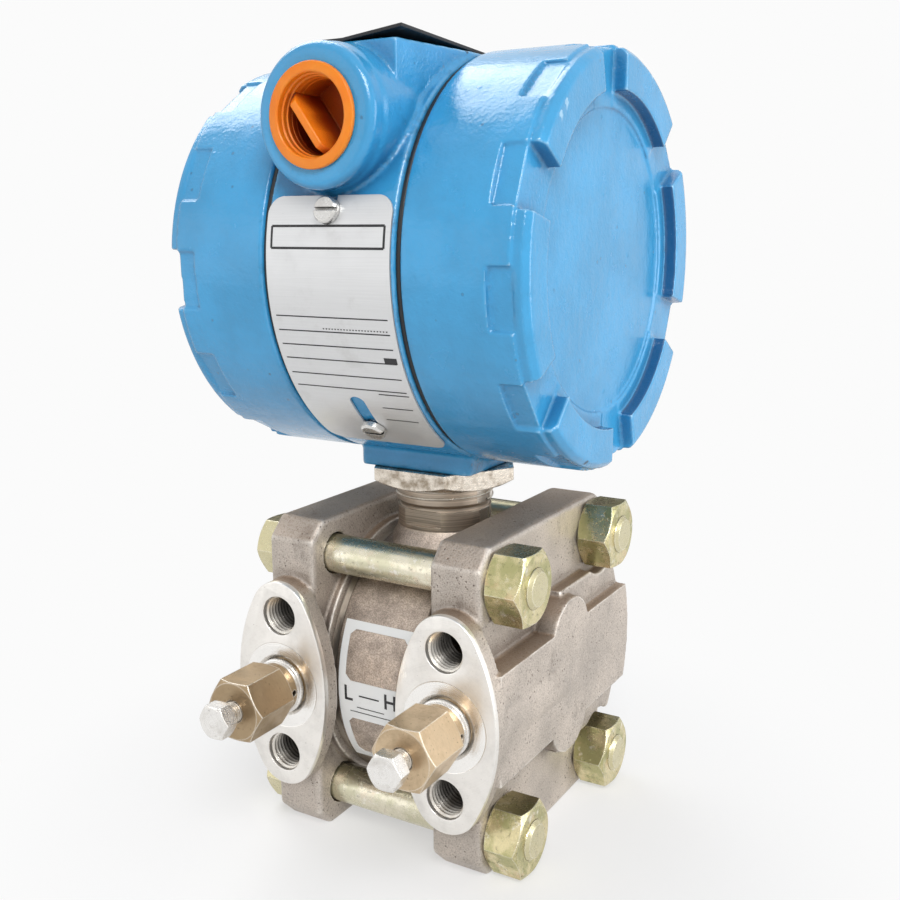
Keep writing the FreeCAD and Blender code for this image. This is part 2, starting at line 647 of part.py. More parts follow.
def flange_casting():
    """The high-side flange, before its mirror image is taken for the low side."""
    front, back = "-bolt_deep - lobe_margin", "bolt_deep + lobe_margin"
    top = "bolt_rise + lobe_margin"
    plate = prism("FlangePlate", [
        (f"{front}", f"-({top}) + lobe_corner"),
        (f"{front} + lobe_corner", f"-({top})"),
        (back, f"-({top})"),
        (back, top),
        (f"{front} + lobe_corner", top),
        (f"{front}", f"{top} - lobe_corner"),
    ], "flange_outer - flange_inner", x="flange_inner", axis="x")
    lobed = rounded("FlangeLobes", plate, "lobe_round",
                    lambda edge, room: runs_along(edge, 0) and near(edge.CenterOfMass.y, room.YMax))
    softened = rounded("FlangeSoft", lobed, "flange_edge",
                       lambda edge, room: not runs_along(edge, 0) or edge.CenterOfMass.y < 0)
    clamp = cylinder("ClampBoss", "clamp_radius", "boss_height + over", x="cell_end", axis="x")
    round_back = common("RoundBack",
                        cylinder("BackDisc", "back_radius", "back_out - flange_inner", x="flange_inner", axis="x"),
                        box("BackBand", ("flange_inner", "back_out"), ("0", "back_radius + over"),
                            ("-back_half", "back_half")))
    band_disc = common("BandDisc",
                       cylinder("ReliefDisc", "back_radius", "relief_out - flange_inner", x="flange_inner", axis="x"),
                       box("ReliefBand", ("flange_inner", "relief_out"), ("0", "back_radius + over"),
                           ("-relief_half", "relief_half")))
    band = box("MiddleBand", ("flange_inner", "relief_out"), ("-relief_front", "over"), ("-relief_half", "relief_half"))
    bumps = [cylinder(f"Bump{k}", "bump_radius", "relief_height + over", x="flange_outer - over",
                      y="bump_back", z=f"{sign}bump_rise", axis="x") for k, sign in enumerate(("", "-"))]
    port_boss = common("PortBoss",
                       cylinder("PortBossBar", "pad_half", "port_face - pad_thick / 2", x="port_half",
                                y="-port_face + pad_thick / 2", axis="y"),
                       box("PortBossRoom", ("flange_inner", "port_half + pad_half"),
                           ("-port_face", "0"), ("-pad_half", "pad_half")))
    body = fuse("FlangeBody", softened, clamp, round_back, band_disc, band, *bumps, port_boss)
    spots = [cylinder(f"NutRoom{k}", "spot_radius", "port_half", x="flange_outer", y=y, z=z, axis="x")
             for k, (y, z) in enumerate(bolt_places())]
    trimmed = cut("FlangeTrimmed", body, *spots)
    with_pad = fuse("FlangeWithPad", trimmed, oval_pad())
    tools = [cylinder(f"BoltHole{k}", "bolt_hole", "relief_out", x="0", y=y, z=z, axis="x")
             for k, (y, z) in enumerate(bolt_places())]
    for k, sign in enumerate(("", "-")):
        tools.append(lathe(f"PadHole{k}", [
            ("0", "-over"),
            ("pad_hole", "-over"),
            ("pad_hole", "pad_hole_deep"),
            ("0", "pad_hole_deep + pad_hole / 2"),
        ], x="port_half", y="-port_face", z=f"{sign}pad_bolt", axis="y"))
    port = [
        ("0", "-over"),
        ("port_hole + port_lead", "-over"),
        ("port_hole + port_lead", "0"),
        ("port_hole", "port_lead * 0.8"),
        ("port_hole", "port_deep"),
        ("0", "port_deep + port_hole / 2"),
    ]
    tools.append(lathe("FrontPort", port, x="port_half", y="-port_face", axis="y"))
    tools.append(lathe("RearPort", port, x="port_half", y="back_radius", axis="front"))
    tools.append(cylinder("Passage", "passage", "port_face", x="port_half", y="-port_face / 2", axis="y"))
    tools.append(cylinder("CrossPassage", "passage", "port_half", x="0", axis="x"))
    tools.append(cylinder("Chamber", "diaphragm_radius", "chamber_depth + over", x="cell_end - over", axis="x"))
    return cut("FlangeMachined", with_pad, *tools)


def flanges():
    """The two process flanges, one the mirror image of the other."""
    high = place(flange_casting(), frame="cell")
    keep(high, "flange_high")
    keep(mirrored("FlangeMirror", high), "flange_low")


def flange_bolts():
    """Four hexagon-headed bolts, heads on the low side."""
    bolts = []
    end = "flange_outer + bolt_nut_height + bolt_stand"
    for k, (y, z) in enumerate(bolt_places()):
        shank = lathe(f"BoltShank{k}", [
            ("0", "-flange_outer"),
            ("bolt_radius", "-flange_outer"),
            ("bolt_radius", f"{end} - 2 * edge_break"),
            ("bolt_radius - 2 * edge_break", end),
            ("0", end),
        ], y=y, z=z, axis="x")
        head = bevelled_hexagon(f"BoltHead{k}", "head_flats", "head_height", True, False,
                                x="-flange_outer - head_height", y=y, z=z, axis="x")
        bolts.append(fuse(f"Bolt{k}", shank, head))
    group = doc.addObject("Part::Compound", "FlangeBolts")
    group.Links = bolts
    keep(place(group, frame="cell"), "flange_bolts")


def flange_nuts():
    """Four heavy hexagon nuts on the high side."""
    nuts = []
    for k, (y, z) in enumerate(bolt_places()):
        blank = bevelled_hexagon(f"NutBlank{k}", "bolt_nut_flats", "bolt_nut_height", True, True,
                                 x="flange_outer", y=y, z=z, axis="x")
        hole = cylinder(f"NutHole{k}", "bolt_radius + thread_gap", "bolt_nut_height + 2 * over",
                        x="flange_outer - over", y=y, z=z, axis="x")
        nuts.append(cut(f"Nut{k}", blank, hole))
    group = doc.addObject("Part::Compound", "FlangeNuts")
    group.Links = nuts
    keep(place(group, frame="cell"), "flange_nuts")


def vent_valve(side, node_body, node_screw):
    """Drain and vent valve: a hexagon body in the port, closed by a screw."""
    x = "port_half" if side > 0 else "-port_half"
    bar = lathe(f"{node_body}Bar", [
        ("0", "-valve_hex_start - over"),
        ("valve_neck", "-valve_hex_start - over"),
        ("valve_neck", "-edge_break"),
        ("valve_neck - edge_break", "0"),
        ("port_hole - thread_gap", "port_lead"),
        ("port_hole - thread_gap", "valve_deep - 2 * edge_break"),
        ("port_hole - 2 * edge_break", "valve_deep"),
        ("0", "valve_deep"),
    ], x=x, y="-port_face", axis="y")
    hexagon_part = bevelled_hexagon(f"{node_body}Hexagon", "valve_flats", "valve_hex_end - valve_hex_start",
                                    True, True, x=x, y="-port_face - valve_hex_end", axis="y")
    joined = fuse(f"{node_body}Blank", bar, hexagon_part)
    screw_bore = cylinder(f"{node_body}Bore", "screw_radius + thread_gap", "screw_deep + over",
                          x=x, y="-port_face - valve_hex_end - over", axis="y")
    way = cylinder(f"{node_body}Way", "passage / 2", "valve_hex_end + valve_deep",
                   x=x, y="-port_face - valve_hex_end + screw_deep - over", axis="y")
    vent = cylinder(f"{node_body}Vent", "vent_hole", "valve_neck + over", x=x, y="-port_face - vent_place", axis="x")
    keep(cut(f"{node_body}Body", joined, screw_bore, way, vent, frame="cell"), node_body)
    shank = lathe(f"{node_screw}Shank", [
        ("0", "-screw_neck - over"),
        ("screw_radius", "-screw_neck - over"),
        ("screw_radius", "screw_deep - screw_radius"),
        ("passage / 2", "screw_deep - over"),
        ("0", "screw_deep - over"),
    ], x=x, y="-port_face - valve_hex_end", axis="y")
    head = bevelled_hexagon(f"{node_screw}Head", "screw_flats", "screw_head", True, True,
                            x=x, y="-port_face - valve_hex_end - screw_neck - screw_head", axis="y")
    keep(fuse(f"{node_screw}Screw", shank, head, frame="cell"), node_screw)


def cell_label():
    """Thin label round the front of the cell, with two windows."""
    band = sector("LabelBand", "label_half", "cell_radius", "cell_radius + label_sheet", "label_upper", "label_lower")
    windows = []
    for name, upper, lower in (("Upper", "label_upper - label_border", "label_text_upper"),
                               ("Lower", "-label_text_lower", "label_border - label_lower")):
        tall = f"cell_radius * sin((({upper}) - ({lower})) / 2)"
        corners = []
        for across, along in ((1, -1), (1, 1), (-1, 1), (-1, -1)):
            wide_first = across * along > 0
            near = (f"{across} * window_half", f"{along} * ({tall} - window_corner)")
            far = (f"{across} * (window_half - window_corner)", f"{along} * {tall}")
            corners += [near, far] if wide_first else [far, near]
        windows.append(tilt(prism(f"Window{name}", corners, "cell_radius / 2"),
                            f"(({upper}) + ({lower})) / 2", "cell_radius * 0.7"))
    keep(cut("CellLabel", band, *windows, frame="cell"), "cell_label")


# -------------------------------------------------------------------- housing


def sector(name, half, inner, outer, upper, lower):
    """Part of a ring about the X axis, from an angle above -Y down to an angle below it."""
    body = new_body(name)
    section = sketch(body, f"{name}Section", "XZ_Plane", [
        (f"-({half})", inner), (half, inner), (half, outer), (f"-({half})", outer),
    ])
    revolve(body, section, "X_Axis", f"({upper}) + ({lower})")
    return tilt(body, upper)


def housing_body():
    """Housing casting: two compartments, conduit block, foot and screw holes."""
    face, end, wall_end = "housing_face", "spigot_end", "wall_end"
    shell = lathe("HousingShell", [
        ("bore_radius", f"-{end}"),
        ("spigot_radius - 2 * edge_break", f"-{end}"),
        ("spigot_radius", f"-{end} + 2 * edge_break"),
        ("spigot_radius", f"-{face}"),
        ("housing_radius - edge_break", f"-{face}"),
        ("housing_radius", f"-{face} + edge_break"),
        ("housing_radius", f"{face} - edge_break"),
        ("housing_radius - edge_break", face),
        ("spigot_radius", face),
        ("spigot_radius", f"{end} - 2 * edge_break"),
        ("spigot_radius - 2 * edge_break", end),
        ("bore_radius", end),
        ("bore_radius", wall_end),
        ("0", wall_end),
        ("0", "wall_start"),
        ("bore_radius", "wall_start"),
    ], axis="x")
    block = prism("ConduitBlock", [
        ("ear_half", "-ear_front"),
        (face, "-ear_shoulder"),
        (face, "ear_shoulder"),
        ("ear_half", "ear_front"),
        ("-ear_half", "ear_front"),
        (f"-{face}", "ear_shoulder"),
        (f"-{face}", "-ear_shoulder"),
        ("-ear_half", "-ear_front"),
    ], "ear_height", z="ear_top - ear_height")
    half_boss = [
        ("0", "-over"),
        ("conduit_mouth + conduit_swell", "-over"),
        ("conduit_mouth + conduit_swell", "conduit_face - conduit_ring - edge_break"),
        ("conduit_mouth", "conduit_face - conduit_ring"),
        ("conduit_mouth", "conduit_face - conduit_bevel"),
        ("conduit_mouth - conduit_bevel", "conduit_face"),
        ("0", "conduit_face"),
    ]
    bosses = [lathe("FrontBoss", half_boss, z="conduit_rise", axis="front"),
              lathe("RearBoss", half_boss, z="conduit_rise", axis="y")]
    foot = prism("Foot", [
        ("foot_half - foot_edge", "-foot_deep"),
        ("foot_half", "-foot_deep + foot_edge"),
        ("foot_half", "foot_deep - foot_edge"),
        ("foot_half - foot_edge", "foot_deep"),
        ("-foot_half + foot_edge", "foot_deep"),
        ("-foot_half", "foot_deep - foot_edge"),
        ("-foot_half", "-foot_deep + foot_edge"),
        ("-foot_half + foot_edge", "-foot_deep"),
    ], "foot_low - (housing_radius + bore_radius) / 2", z="-foot_low")
    inside = [ring(f"Hollow{k}", "0", "bore_radius", low, high, axis="x")
              for k, (low, high) in enumerate(((f"-{end}", "wall_start"), (wall_end, end)))]
    solid = fuse("HousingSolid", shell, block, *bosses, foot)
    tools = inside
    tools += [cylinder(f"ConduitBore{k}", "conduit_bore", "conduit_deep + over", y=y, z="conduit_rise", axis="y")
              for k, y in enumerate(("-conduit_face - over", "conduit_face - conduit_deep"))]
    tools.append(cylinder("NeckBore", "stem_radius + thread_gap", "stem_reach + 2 * over", z="-foot_low - over"))
    tools.append(box("TagSeat", (f"-{face} - over", f"{face} + over"), ("-ear_front", "ear_front"),
                     ("ear_top", "housing_radius + over")))
    for k, angle in enumerate(("upper_screw", "-lower_screw")):
        tools.append(tilt(cylinder(f"PlateScrewHole{k}", "screw_shank + thread_gap", "screw_bite + 2 * over"), angle,
                          "housing_radius - screw_bite - edge_break"))
    for k, x in enumerate(("-adjust_half", "adjust_half")):
        tools.append(tilt(cylinder(f"AdjustHole{k}", "adjust_radius + thread_gap", "adjust_length + 3 * over"),
                          "adjust_angle", "housing_radius - adjust_sink - adjust_length - thread_gap", x))
    keep(cut("HousingBody", solid, *tools, frame="housing"), "housing_body")


def cover(name, axis, turn, node):
    """Screw-on compartment cover with six lugs and twelve grip pockets."""
    lip, thread, side = "cover_lip", "cover_thread", "cover_side"
    shoulder = "spigot_end + seam_gap / 2"
    inner = "cover_disc - cover_wall"
    body = new_body(name)
    revolve(body, sketch(body, f"{name}Profile", "XZ_Plane", [
        (thread, lip),
        ("housing_radius - edge_break", lip),
        ("housing_radius", f"{lip} + edge_break"),
        ("housing_radius", "cover_edge"),
        (side, "cover_edge"),
        (side, "cover_end - cover_bevel"),
        (f"{side} - cover_bevel", "cover_end"),
        ("lug_radius", "cover_end"),
        ("lug_radius", "cover_ledge"),
        ("ledge_radius", "cover_ledge"),
        ("ledge_radius", "cover_disc"),
        ("0", "cover_disc"),
        ("0", inner),
        ("cover_bore", inner),
        ("cover_bore", shoulder),
        (thread, shoulder),
    ]), "Z_Axis")
    start, far = "ledge_radius", "(housing_radius + over)"
    spread = "(notch_angle / 2)"
    notch = pocket(body, sketch(body, f"{name}Notch", "XY_Plane", [
        (f"-{start} * sin({spread})", f"{start} * cos({spread})"),
        (f"{start} * sin({spread})", f"{start} * cos({spread})"),
        (f"{far} * sin({spread})", f"{far} * cos({spread})"),
        (f"-{far} * sin({spread})", f"{far} * cos({spread})"),
    ], lift="cover_end + over", turn=turn), "lug_height + over")
    polar(body, notch, "Z_Axis", "lug_count")
    floor = "(housing_radius - pocket_depth)"
    grip = pocket(body, sketch(body, f"{name}Grip", "XY_Plane", [
        ("-pocket_width / 2", floor),
        ("pocket_width / 2", floor),
        ("pocket_width / 2", far),
        ("-pocket_width / 2", far),
    ], lift="cover_edge - pocket_set + pocket_length", turn=turn), "pocket_length")
    polar(body, grip, "Z_Axis", "pocket_count")
    keep(place(body, axis=axis, frame="housing"), node)


def cover_seal(name, axis, node):
    """Seal ring on the spigot, between housing and cover."""
    face, lip, rounding = "housing_face", "cover_lip - cover_seal_gap", "edge_break * 0.8"
    keep(lathe(name, [
        ("spigot_radius + thread_gap", face),
        (f"cover_seal - {rounding}", face),
        ("cover_seal", f"{face} + {rounding}"),
        ("cover_seal", f"{lip} - {rounding}"),
        (f"cover_seal - {rounding}", lip),
        ("spigot_radius + thread_gap", lip),
    ], axis=axis, frame="housing"), node)


def conduit_plug(name, axis, y, node):
    """Hollow thread protector with a flange and a web to grip."""
    barrel, hollow = "plug_barrel", "plug_hollow"
    shell = lathe(f"{name}Shell", [
        ("0", "-plug_length"),
        (f"{barrel} - edge_break", "-plug_length"),
        (barrel, "-plug_length + edge_break"),
        (barrel, "plug_gap"),
        ("plug_radius", "plug_gap"),
        ("plug_radius", "plug_flange - edge_break"),
        ("plug_radius - edge_break", "plug_flange"),
        (hollow, "plug_flange"),
        (hollow, "-plug_length + plug_wall"),
        ("0", "-plug_length + plug_wall"),
    ])
    bar = box(f"{name}Bar", ("-plug_web / 2", "plug_web / 2"), (f"-{barrel}", barrel),
              ("-plug_length + plug_wall / 2", "plug_flange - plug_web_sink"))
    bar.Placement = FreeCAD.Placement(FreeCAD.Vector(), FreeCAD.Rotation(FreeCAD.Vector(0, 0, 1), 10))
    bar.setExpression("Placement.Rotation.Angle", bind("plug_tilt"))
    bar.setExpression("Placement.Base.x", bind(f"-cos(plug_tilt) * plug_web / 2 + sin(plug_tilt) * {barrel}"))
    bar.setExpression("Placement.Base.y", bind(f"-sin(plug_tilt) * plug_web / 2 - cos(plug_tilt) * {barrel}"))
    room = cylinder(f"{name}Room", f"{hollow} + plug_wall / 2", "plug_length", z="-plug_length")
    web = common(f"{name}Web", bar, room)
    keep(place(fuse(name, shell, web), y=y, z="conduit_rise", axis=axis, frame="housing"), node)


def nameplate():
    """Curved nameplate with an open slot above and a closed slot below."""
    sheet_part = sector("PlateSheet", "plate_half", "plate_inner", "plate_outer", "plate_upper", "plate_lower")
    thick = VALUES["plate_sheet"]
    cornered = rounded("PlateCorners", sheet_part, "plate_corner",
                       lambda edge, room: edge.Curve.TypeId == "Part::GeomLine" and near(edge.Length, thick))
    low, high = "plate_inner - over", "plate_outer + over"
    tools = [
        sector("OpenSlot", "slot_half", low, high, "plate_upper + label_border", "-upper_screw"),
        sector("ClosedSlot", "slot_half", low, high, "slide_angle - lower_screw", "lower_screw"),
    ]
    for k, angle in enumerate(("upper_screw", "-lower_screw", "slide_angle - lower_screw")):
        tools.append(tilt(cylinder(f"SlotEnd{k}", "slot_half", "plate_sheet + 2 * over"), angle, "plate_inner - over"))
    keep(cut("Nameplate", cornered, *tools, frame="housing"), "nameplate")


def slotted_screw(name, shank, cap, bite, rise):
    """A screw along its own Z axis, its head standing on z = 0, with a slot across it."""
    body = lathe(f"{name}Turned", [
        ("0", f"-({bite})"),
        (f"{shank} - edge_break", f"-({bite})"),
        (shank, f"-({bite}) + edge_break"),
        (shank, "0"),
        (cap, "0"),
        (cap, f"({rise}) - edge_break"),
        (f"{cap} - edge_break", rise),
        ("0", rise),
    ])
    slot = box(f"{name}Slot", (f"-({cap}) - over", f"({cap}) + over"), ("-screw_slot / 2", "screw_slot / 2"),
               (f"({rise}) * 0.45", f"({rise}) + over"))
    return cut(name, body, slot)


def nameplate_screws():
    """The two screws that guide the nameplate."""
    seat = "plate_outer + head_gap"
    for name, angle in (("Upper", "upper_screw"), ("Lower", "-lower_screw")):
        screw = slotted_screw(f"PlateScrew{name}", "screw_shank", "screw_cap", "screw_bite", "screw_rise")
        keep(tilt(screw, angle, seat, frame="housing"), f"nameplate_screw_{name.lower()}")


def adjusting_screws():
    """Zero and span screws, sunk in the housing under the nameplate."""
    for name, x in (("zero", "-adjust_half"), ("span", "adjust_half")):
        screw = slotted_screw(f"Adjust{name}", "adjust_radius - edge_break", "adjust_radius",
                              "adjust_length - adjust_head", "adjust_head")
        keep(tilt(screw, "adjust_angle", "housing_radius - adjust_sink - adjust_head", x, "housing"), f"{name}_screw")


def top_tag():
    """Thin tag on the conduit block, with one front corner bent up."""
    fold = math.hypot(VALUES["tag_fold_side"], VALUES["tag_fold_back"])
    across = FreeCAD.Vector(VALUES["tag_fold_back"], -VALUES["tag_fold_side"], 0) / fold
    along = across.cross(FreeCAD.Vector(0, 0, 1))
    outline = prism("TagOutline", [
        ("tag_half", "-ear_front"),
        ("tag_half", "ear_front"),
        ("-tag_half", "ear_front"),
        ("-tag_half", "-ear_front"),
    ], "tag_lift + 4 * tag_sheet", z="-tag_sheet")
    reach = "(tag_fold_side * tag_fold_back / sqrt(tag_fold_side^2 + tag_fold_back^2))"
    sheet_part = prism("TagSheet", [
        ("-3 * ear_front", "0"),
        ("0", "0"),
        (f"2 * {reach}", "2 * tag_lift"),
        (f"2 * {reach}", "2 * tag_lift + tag_sheet"),
        ("0", "tag_sheet"),
        ("-3 * ear_front", "tag_sheet"),
    ], "6 * ear_front")
    sheet_part.Placement = FreeCAD.Placement(
        FreeCAD.Vector(), FreeCAD.Rotation(across, FreeCAD.Vector(0, 0, 1), along, "XYZ"))
    sheet_part.setExpression("Placement.Base.x", bind(f"tag_half - ({along.x:.9f}) * 3 * ear_front"))
    sheet_part.setExpression("Placement.Base.y", bind(f"tag_fold_back - ear_front - ({along.y:.9f}) * 3 * ear_front"))
    sheet_part.setExpression("Placement.Base.z", "0")
    tag = common("TopTag", outline, sheet_part)
    keep(place(tag, z="ear_top", frame="housing"), "top_tag")


# ------------------------------------------------------- inside the compartments


def terminal_block():
    """Terminal block in the left compartment, with ribs between its screws."""
    disc = cylinder("BlockDisc", "block_radius", "block_thick", x="block_face", axis="x")
    rail = box("BlockRail", ("block_face - rail_height", "block_face + over"),
               ("-2 * terminal_pitch - terminal_rib", "2 * terminal_pitch + terminal_rib"),
               ("-rail_half", "rail_half"))
    bays = [box(f"BlockBay{k}", ("block_face - rail_height - over", "block_face - rail_height + bay_depth"),
                (f"{k - 2} * terminal_pitch + terminal_rib / 2", f"{k - 1} * terminal_pitch - terminal_rib / 2"),
                ("-rail_half + terminal_rib", "rail_half + over")) for k in range(4)]
    seat = "block_face - rail_height + bay_depth"
    holes = [cylinder(f"TerminalHole{k}", "terminal_radius / 2 + slip_gap", "terminal_bite + over",
                      x=seat, y=f"{k - 1.5} * terminal_pitch", axis="x") for k in range(4)]
    keep(cut("TerminalBlock", fuse("BlockSolid", disc, rail), *bays, *holes, frame="housing"), "terminal_block")
    screws = []
    for k in range(4):
        screw = slotted_screw(f"Terminal{k}", "terminal_radius / 2", "terminal_radius", "terminal_bite",
                              "terminal_head")
        screws.append(place(screw, x=seat, y=f"{k - 1.5} * terminal_pitch", axis="left"))
    group = doc.addObject("Part::Compound", "TerminalScrews")
    group.Links = screws
    keep(place(group, frame="housing"), "terminal_screws")


def boards():
    """Two round circuit boards on posts in the right compartment."""
    first = "(wall_end + board_first)"
    second = "(wall_end + board_first + board_pitch)"
    for node, low in (("amplifier_board", first), ("output_board", second)):
        disc = cylinder(f"{node}Disc", "board_radius", "board_sheet", x=low, axis="x")
        chips = [box(f"{node}Chip{k}", (f"{low} + board_sheet / 2", f"{low} + board_sheet + chip_height"),
                     (f"({y}) * chip_half - chip_half", f"({y}) * chip_half + chip_half"),
                     (f"({z}) * chip_half - chip_half", f"({z}) * chip_half + chip_half"))
                 for k, (y, z) in enumerate(((-1.8, 1.4), (1.8, 1.2), (0, -2)))]
        keep(fuse(f"{node}Solid", disc, *chips, frame="housing"), node)
    posts, screws = [], []
    for k, (y, z) in enumerate((("cos(45)", "sin(45)"), ("-cos(45)", "sin(45)"),
                                ("-cos(45)", "-sin(45)"), ("cos(45)", "-sin(45)"))):
        y, z = f"post_circle * {y}", f"post_circle * {z}"
        posts.append(cylinder(f"LowPost{k}", "post_radius", "board_first", x="wall_end", y=y, z=z, axis="x"))
        posts.append(cylinder(f"HighPost{k}", "post_radius", "board_pitch - board_sheet",
                              x=f"{first} + board_sheet", y=y, z=z, axis="x"))
        screws.append(cylinder(f"BoardScrew{k}", "post_screw", "post_screw_head",
                               x=f"{second} + board_sheet", y=y, z=z, axis="x"))
    for name, members, node in (("BoardPosts", posts, "board_posts"), ("BoardScrews", screws, "board_screws")):
        group = doc.addObject("Part::Compound", name)
        group.Links = members
        keep(place(group, frame="housing"), node)


def check_document():
    """Stop if any feature failed or any sub-part is not a sound solid."""
    for obj in doc.Objects:
        if "Invalid" in obj.State or "Error" in obj.State:
            raise RuntimeError(f"{obj.Name} did not build: {obj.State}")
    for obj in SUB_PARTS:
        if obj.Shape.isNull() or not obj.Shape.isValid() or not obj.Shape.Solids:
            raise RuntimeError(f"{obj.Label} is not a sound solid")


def main():
    """Build every sub-part, check them and write them out."""
    sensor_module()
    lock_nut()
    diaphragms()
    flange_gaskets()
    flanges()
    flange_bolts()
    flange_nuts()
    vent_valve(1, "valve_body_high", "valve_stem_high")
    vent_valve(-1, "valve_body_low", "valve_stem_low")
    cell_label()
    housing_body()
    cover("CoverRight", "x", "right_turn", "cover_right")
    cover("CoverLeft", "left", "left_turn", "cover_left")
    cover_seal("SealRight", "x", "cover_oring_right")
    cover_seal("SealLeft", "left", "cover_oring_left")
    conduit_plug("PlugFront", "front", "-conduit_face", "conduit_plug_front")
    conduit_plug("PlugRear", "y", "conduit_face", "conduit_plug_rear")
    nameplate()
    nameplate_screws()
    adjusting_screws()
    top_tag()
    terminal_block()
    boards()
    doc.recompute()
    check_document()
    os.makedirs("parts", exist_ok=True)
    for obj in SUB_PARTS:
        obj.Shape.exportStep(os.path.join("parts", f"{obj.Label}.step"))
        bounds = obj.Shape.BoundBox
        print(f"{obj.Label:22s} {obj.Shape.Volume:10.0f} mm3  {len(obj.Shape.Solids)} solid(s)  "
              f"x {bounds.XMin:7.2f} {bounds.XMax:7.2f}  y {bounds.YMin:7.2f} {bounds.YMax:7.2f}  "
              f"z {bounds.ZMin:7.2f} {bounds.ZMax:7.2f}")


main()
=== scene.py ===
"""Looks of a differential pressure transmitter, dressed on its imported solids.

The process face lies in the XZ plane and looks along -Y.  X runs from the low side to the
high side and Z points up.  Sizes in the classes are in millimetres and become metres
where a mesh is made.
"""

import logging
import math
from dataclasses import dataclass
from enum import Enum
from typing import Optional, Sequence, Union

import bmesh
import bpy
from bmesh.types import BMEdge, BMesh, BMVert
from bpy.types import Material, Mesh, Object
from mathutils import Matrix, Vector

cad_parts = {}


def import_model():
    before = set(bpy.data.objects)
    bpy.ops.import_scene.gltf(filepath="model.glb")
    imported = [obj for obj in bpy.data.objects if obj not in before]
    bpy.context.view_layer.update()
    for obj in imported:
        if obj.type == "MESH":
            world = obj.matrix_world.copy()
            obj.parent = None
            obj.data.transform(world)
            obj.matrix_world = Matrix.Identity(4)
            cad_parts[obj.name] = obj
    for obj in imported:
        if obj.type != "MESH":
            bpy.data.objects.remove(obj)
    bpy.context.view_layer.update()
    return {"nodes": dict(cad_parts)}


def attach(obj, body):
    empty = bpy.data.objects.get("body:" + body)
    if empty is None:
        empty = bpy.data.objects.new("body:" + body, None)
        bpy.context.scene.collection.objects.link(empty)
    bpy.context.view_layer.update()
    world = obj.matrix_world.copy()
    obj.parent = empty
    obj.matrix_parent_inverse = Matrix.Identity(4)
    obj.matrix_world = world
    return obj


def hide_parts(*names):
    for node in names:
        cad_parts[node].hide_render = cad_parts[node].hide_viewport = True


LOG = logging.getLogger("transmitter")
MM = 0.001
STEM_Y = 46.3  # stem and housing axis behind the process face, in millimetres
HOUSING_Z = 118.0  # housing axis above the ports
STEM_LINE = (0.0, STEM_Y, 0.0)
HOUSING_LINE = (0.0, STEM_Y, HOUSING_Z)
PORT_X = 27.0  # middle of the part to a port
MOST_TRIANGLES = 190_000  # in one casting
CAST_PASSES = 2  # how often a casting is smoothed
BACKDROP = 0.965  # brightness of the backdrop where it is seen
Colour = tuple[float, float, float]
Point = tuple[float, float, float]
Number = Union[float, "Wire"]
Tone = Union[Colour, "Wire"]


class Body(Enum):
    """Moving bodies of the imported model."""

    SENSOR = "sensor"
    LOCK_NUT = "lock_nut"
    HOUSING = "housing"
    COVER_RIGHT = "cover_right"
    COVER_LEFT = "cover_left"
    PLUG_FRONT = "plug_front"
    PLUG_REAR = "plug_rear"
    NAMEPLATE = "nameplate"
    ZERO_SCREW = "zero_screw"
    SPAN_SCREW = "span_screw"
    STEM_LOW = "stem_low"
    STEM_HIGH = "stem_high"


class Slot(Enum):
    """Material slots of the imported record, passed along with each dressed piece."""

    PAINT = "housing_paint"
    RUBBER = "seal_rubber"
    PLUG = "plug_plastic"
    PLATE = "plate_metal"
    SCREW = "screw_steel"
    TAG = "tag_black"
    CELL = "cell_steel"
    NUT = "nut_steel"
    FLANGE = "flange_casting"
    ZINC = "zinc_yellow"
    VALVE = "valve_metal"
    LABEL = "label_white"


class Axis(Enum):
    """Unit directions that turned pieces lie along."""

    X = (1.0, 0.0, 0.0)
    Y = (0.0, 1.0, 0.0)
    Z = (0.0, 0.0, 1.0)

    @property
    def vector(self) -> Vector:
        """The direction as a vector."""
        return Vector(self.value)


def scaled(colour: Colour, factor: float) -> Colour:
    """A colour made darker or lighter, up to full white."""
    return tuple(min(1.0, part * factor) for part in colour)


# ------------------------------------------------------------------ shader tools


class Wire:
    """An output socket that can be used in arithmetic."""

    def __init__(self, shader: "Shader", socket: bpy.types.NodeSocket) -> None:
        """Keep the socket and the shader that it belongs to."""
        self.shader = shader
        self.socket = socket

    def _math(self, operation: str, first: Number, second: Number) -> "Wire":
        """Add one Math node."""
        return self.shader.node("ShaderNodeMath", {"operation": operation}, {0: first, 1: second})

    def __add__(self, other: Number) -> "Wire":
        """Sum."""
        return self._math("ADD", self, other)

    __radd__ = __add__

    def __mul__(self, other: Number) -> "Wire":
        """Product."""
        return self._math("MULTIPLY", self, other)

    __rmul__ = __mul__

    def __sub__(self, other: Number) -> "Wire":
        """Difference."""
        return self._math("SUBTRACT", self, other)

    def __rsub__(self, other: Number) -> "Wire":
        """Difference with the socket on the right."""
        return self._math("SUBTRACT", other, self)

    def size(self) -> "Wire":
        """The value without its sign."""
        return self._math("ABSOLUTE", self, 0.0)

    def larger(self, other: Number) -> "Wire":
        """The larger of two values."""
        return self._math("MAXIMUM", self, other)

    def span(self, low: float, high: float, start: float = 0.0, end: float = 1.0) -> "Wire":
        """Map low..high onto start..end, held at both ends.

        Args:
            low: value that becomes start.
            high: value that becomes end.
            start: result at low.
            end: result at high.

        Returns:
            The mapped value.
        """
        return self.shader.node(
            "ShaderNodeMapRange", {"clamp": True, "interpolation_type": "SMOOTHSTEP"},
            {"Value": self, "From Min": low, "From Max": high, "To Min": start, "To Max": end})


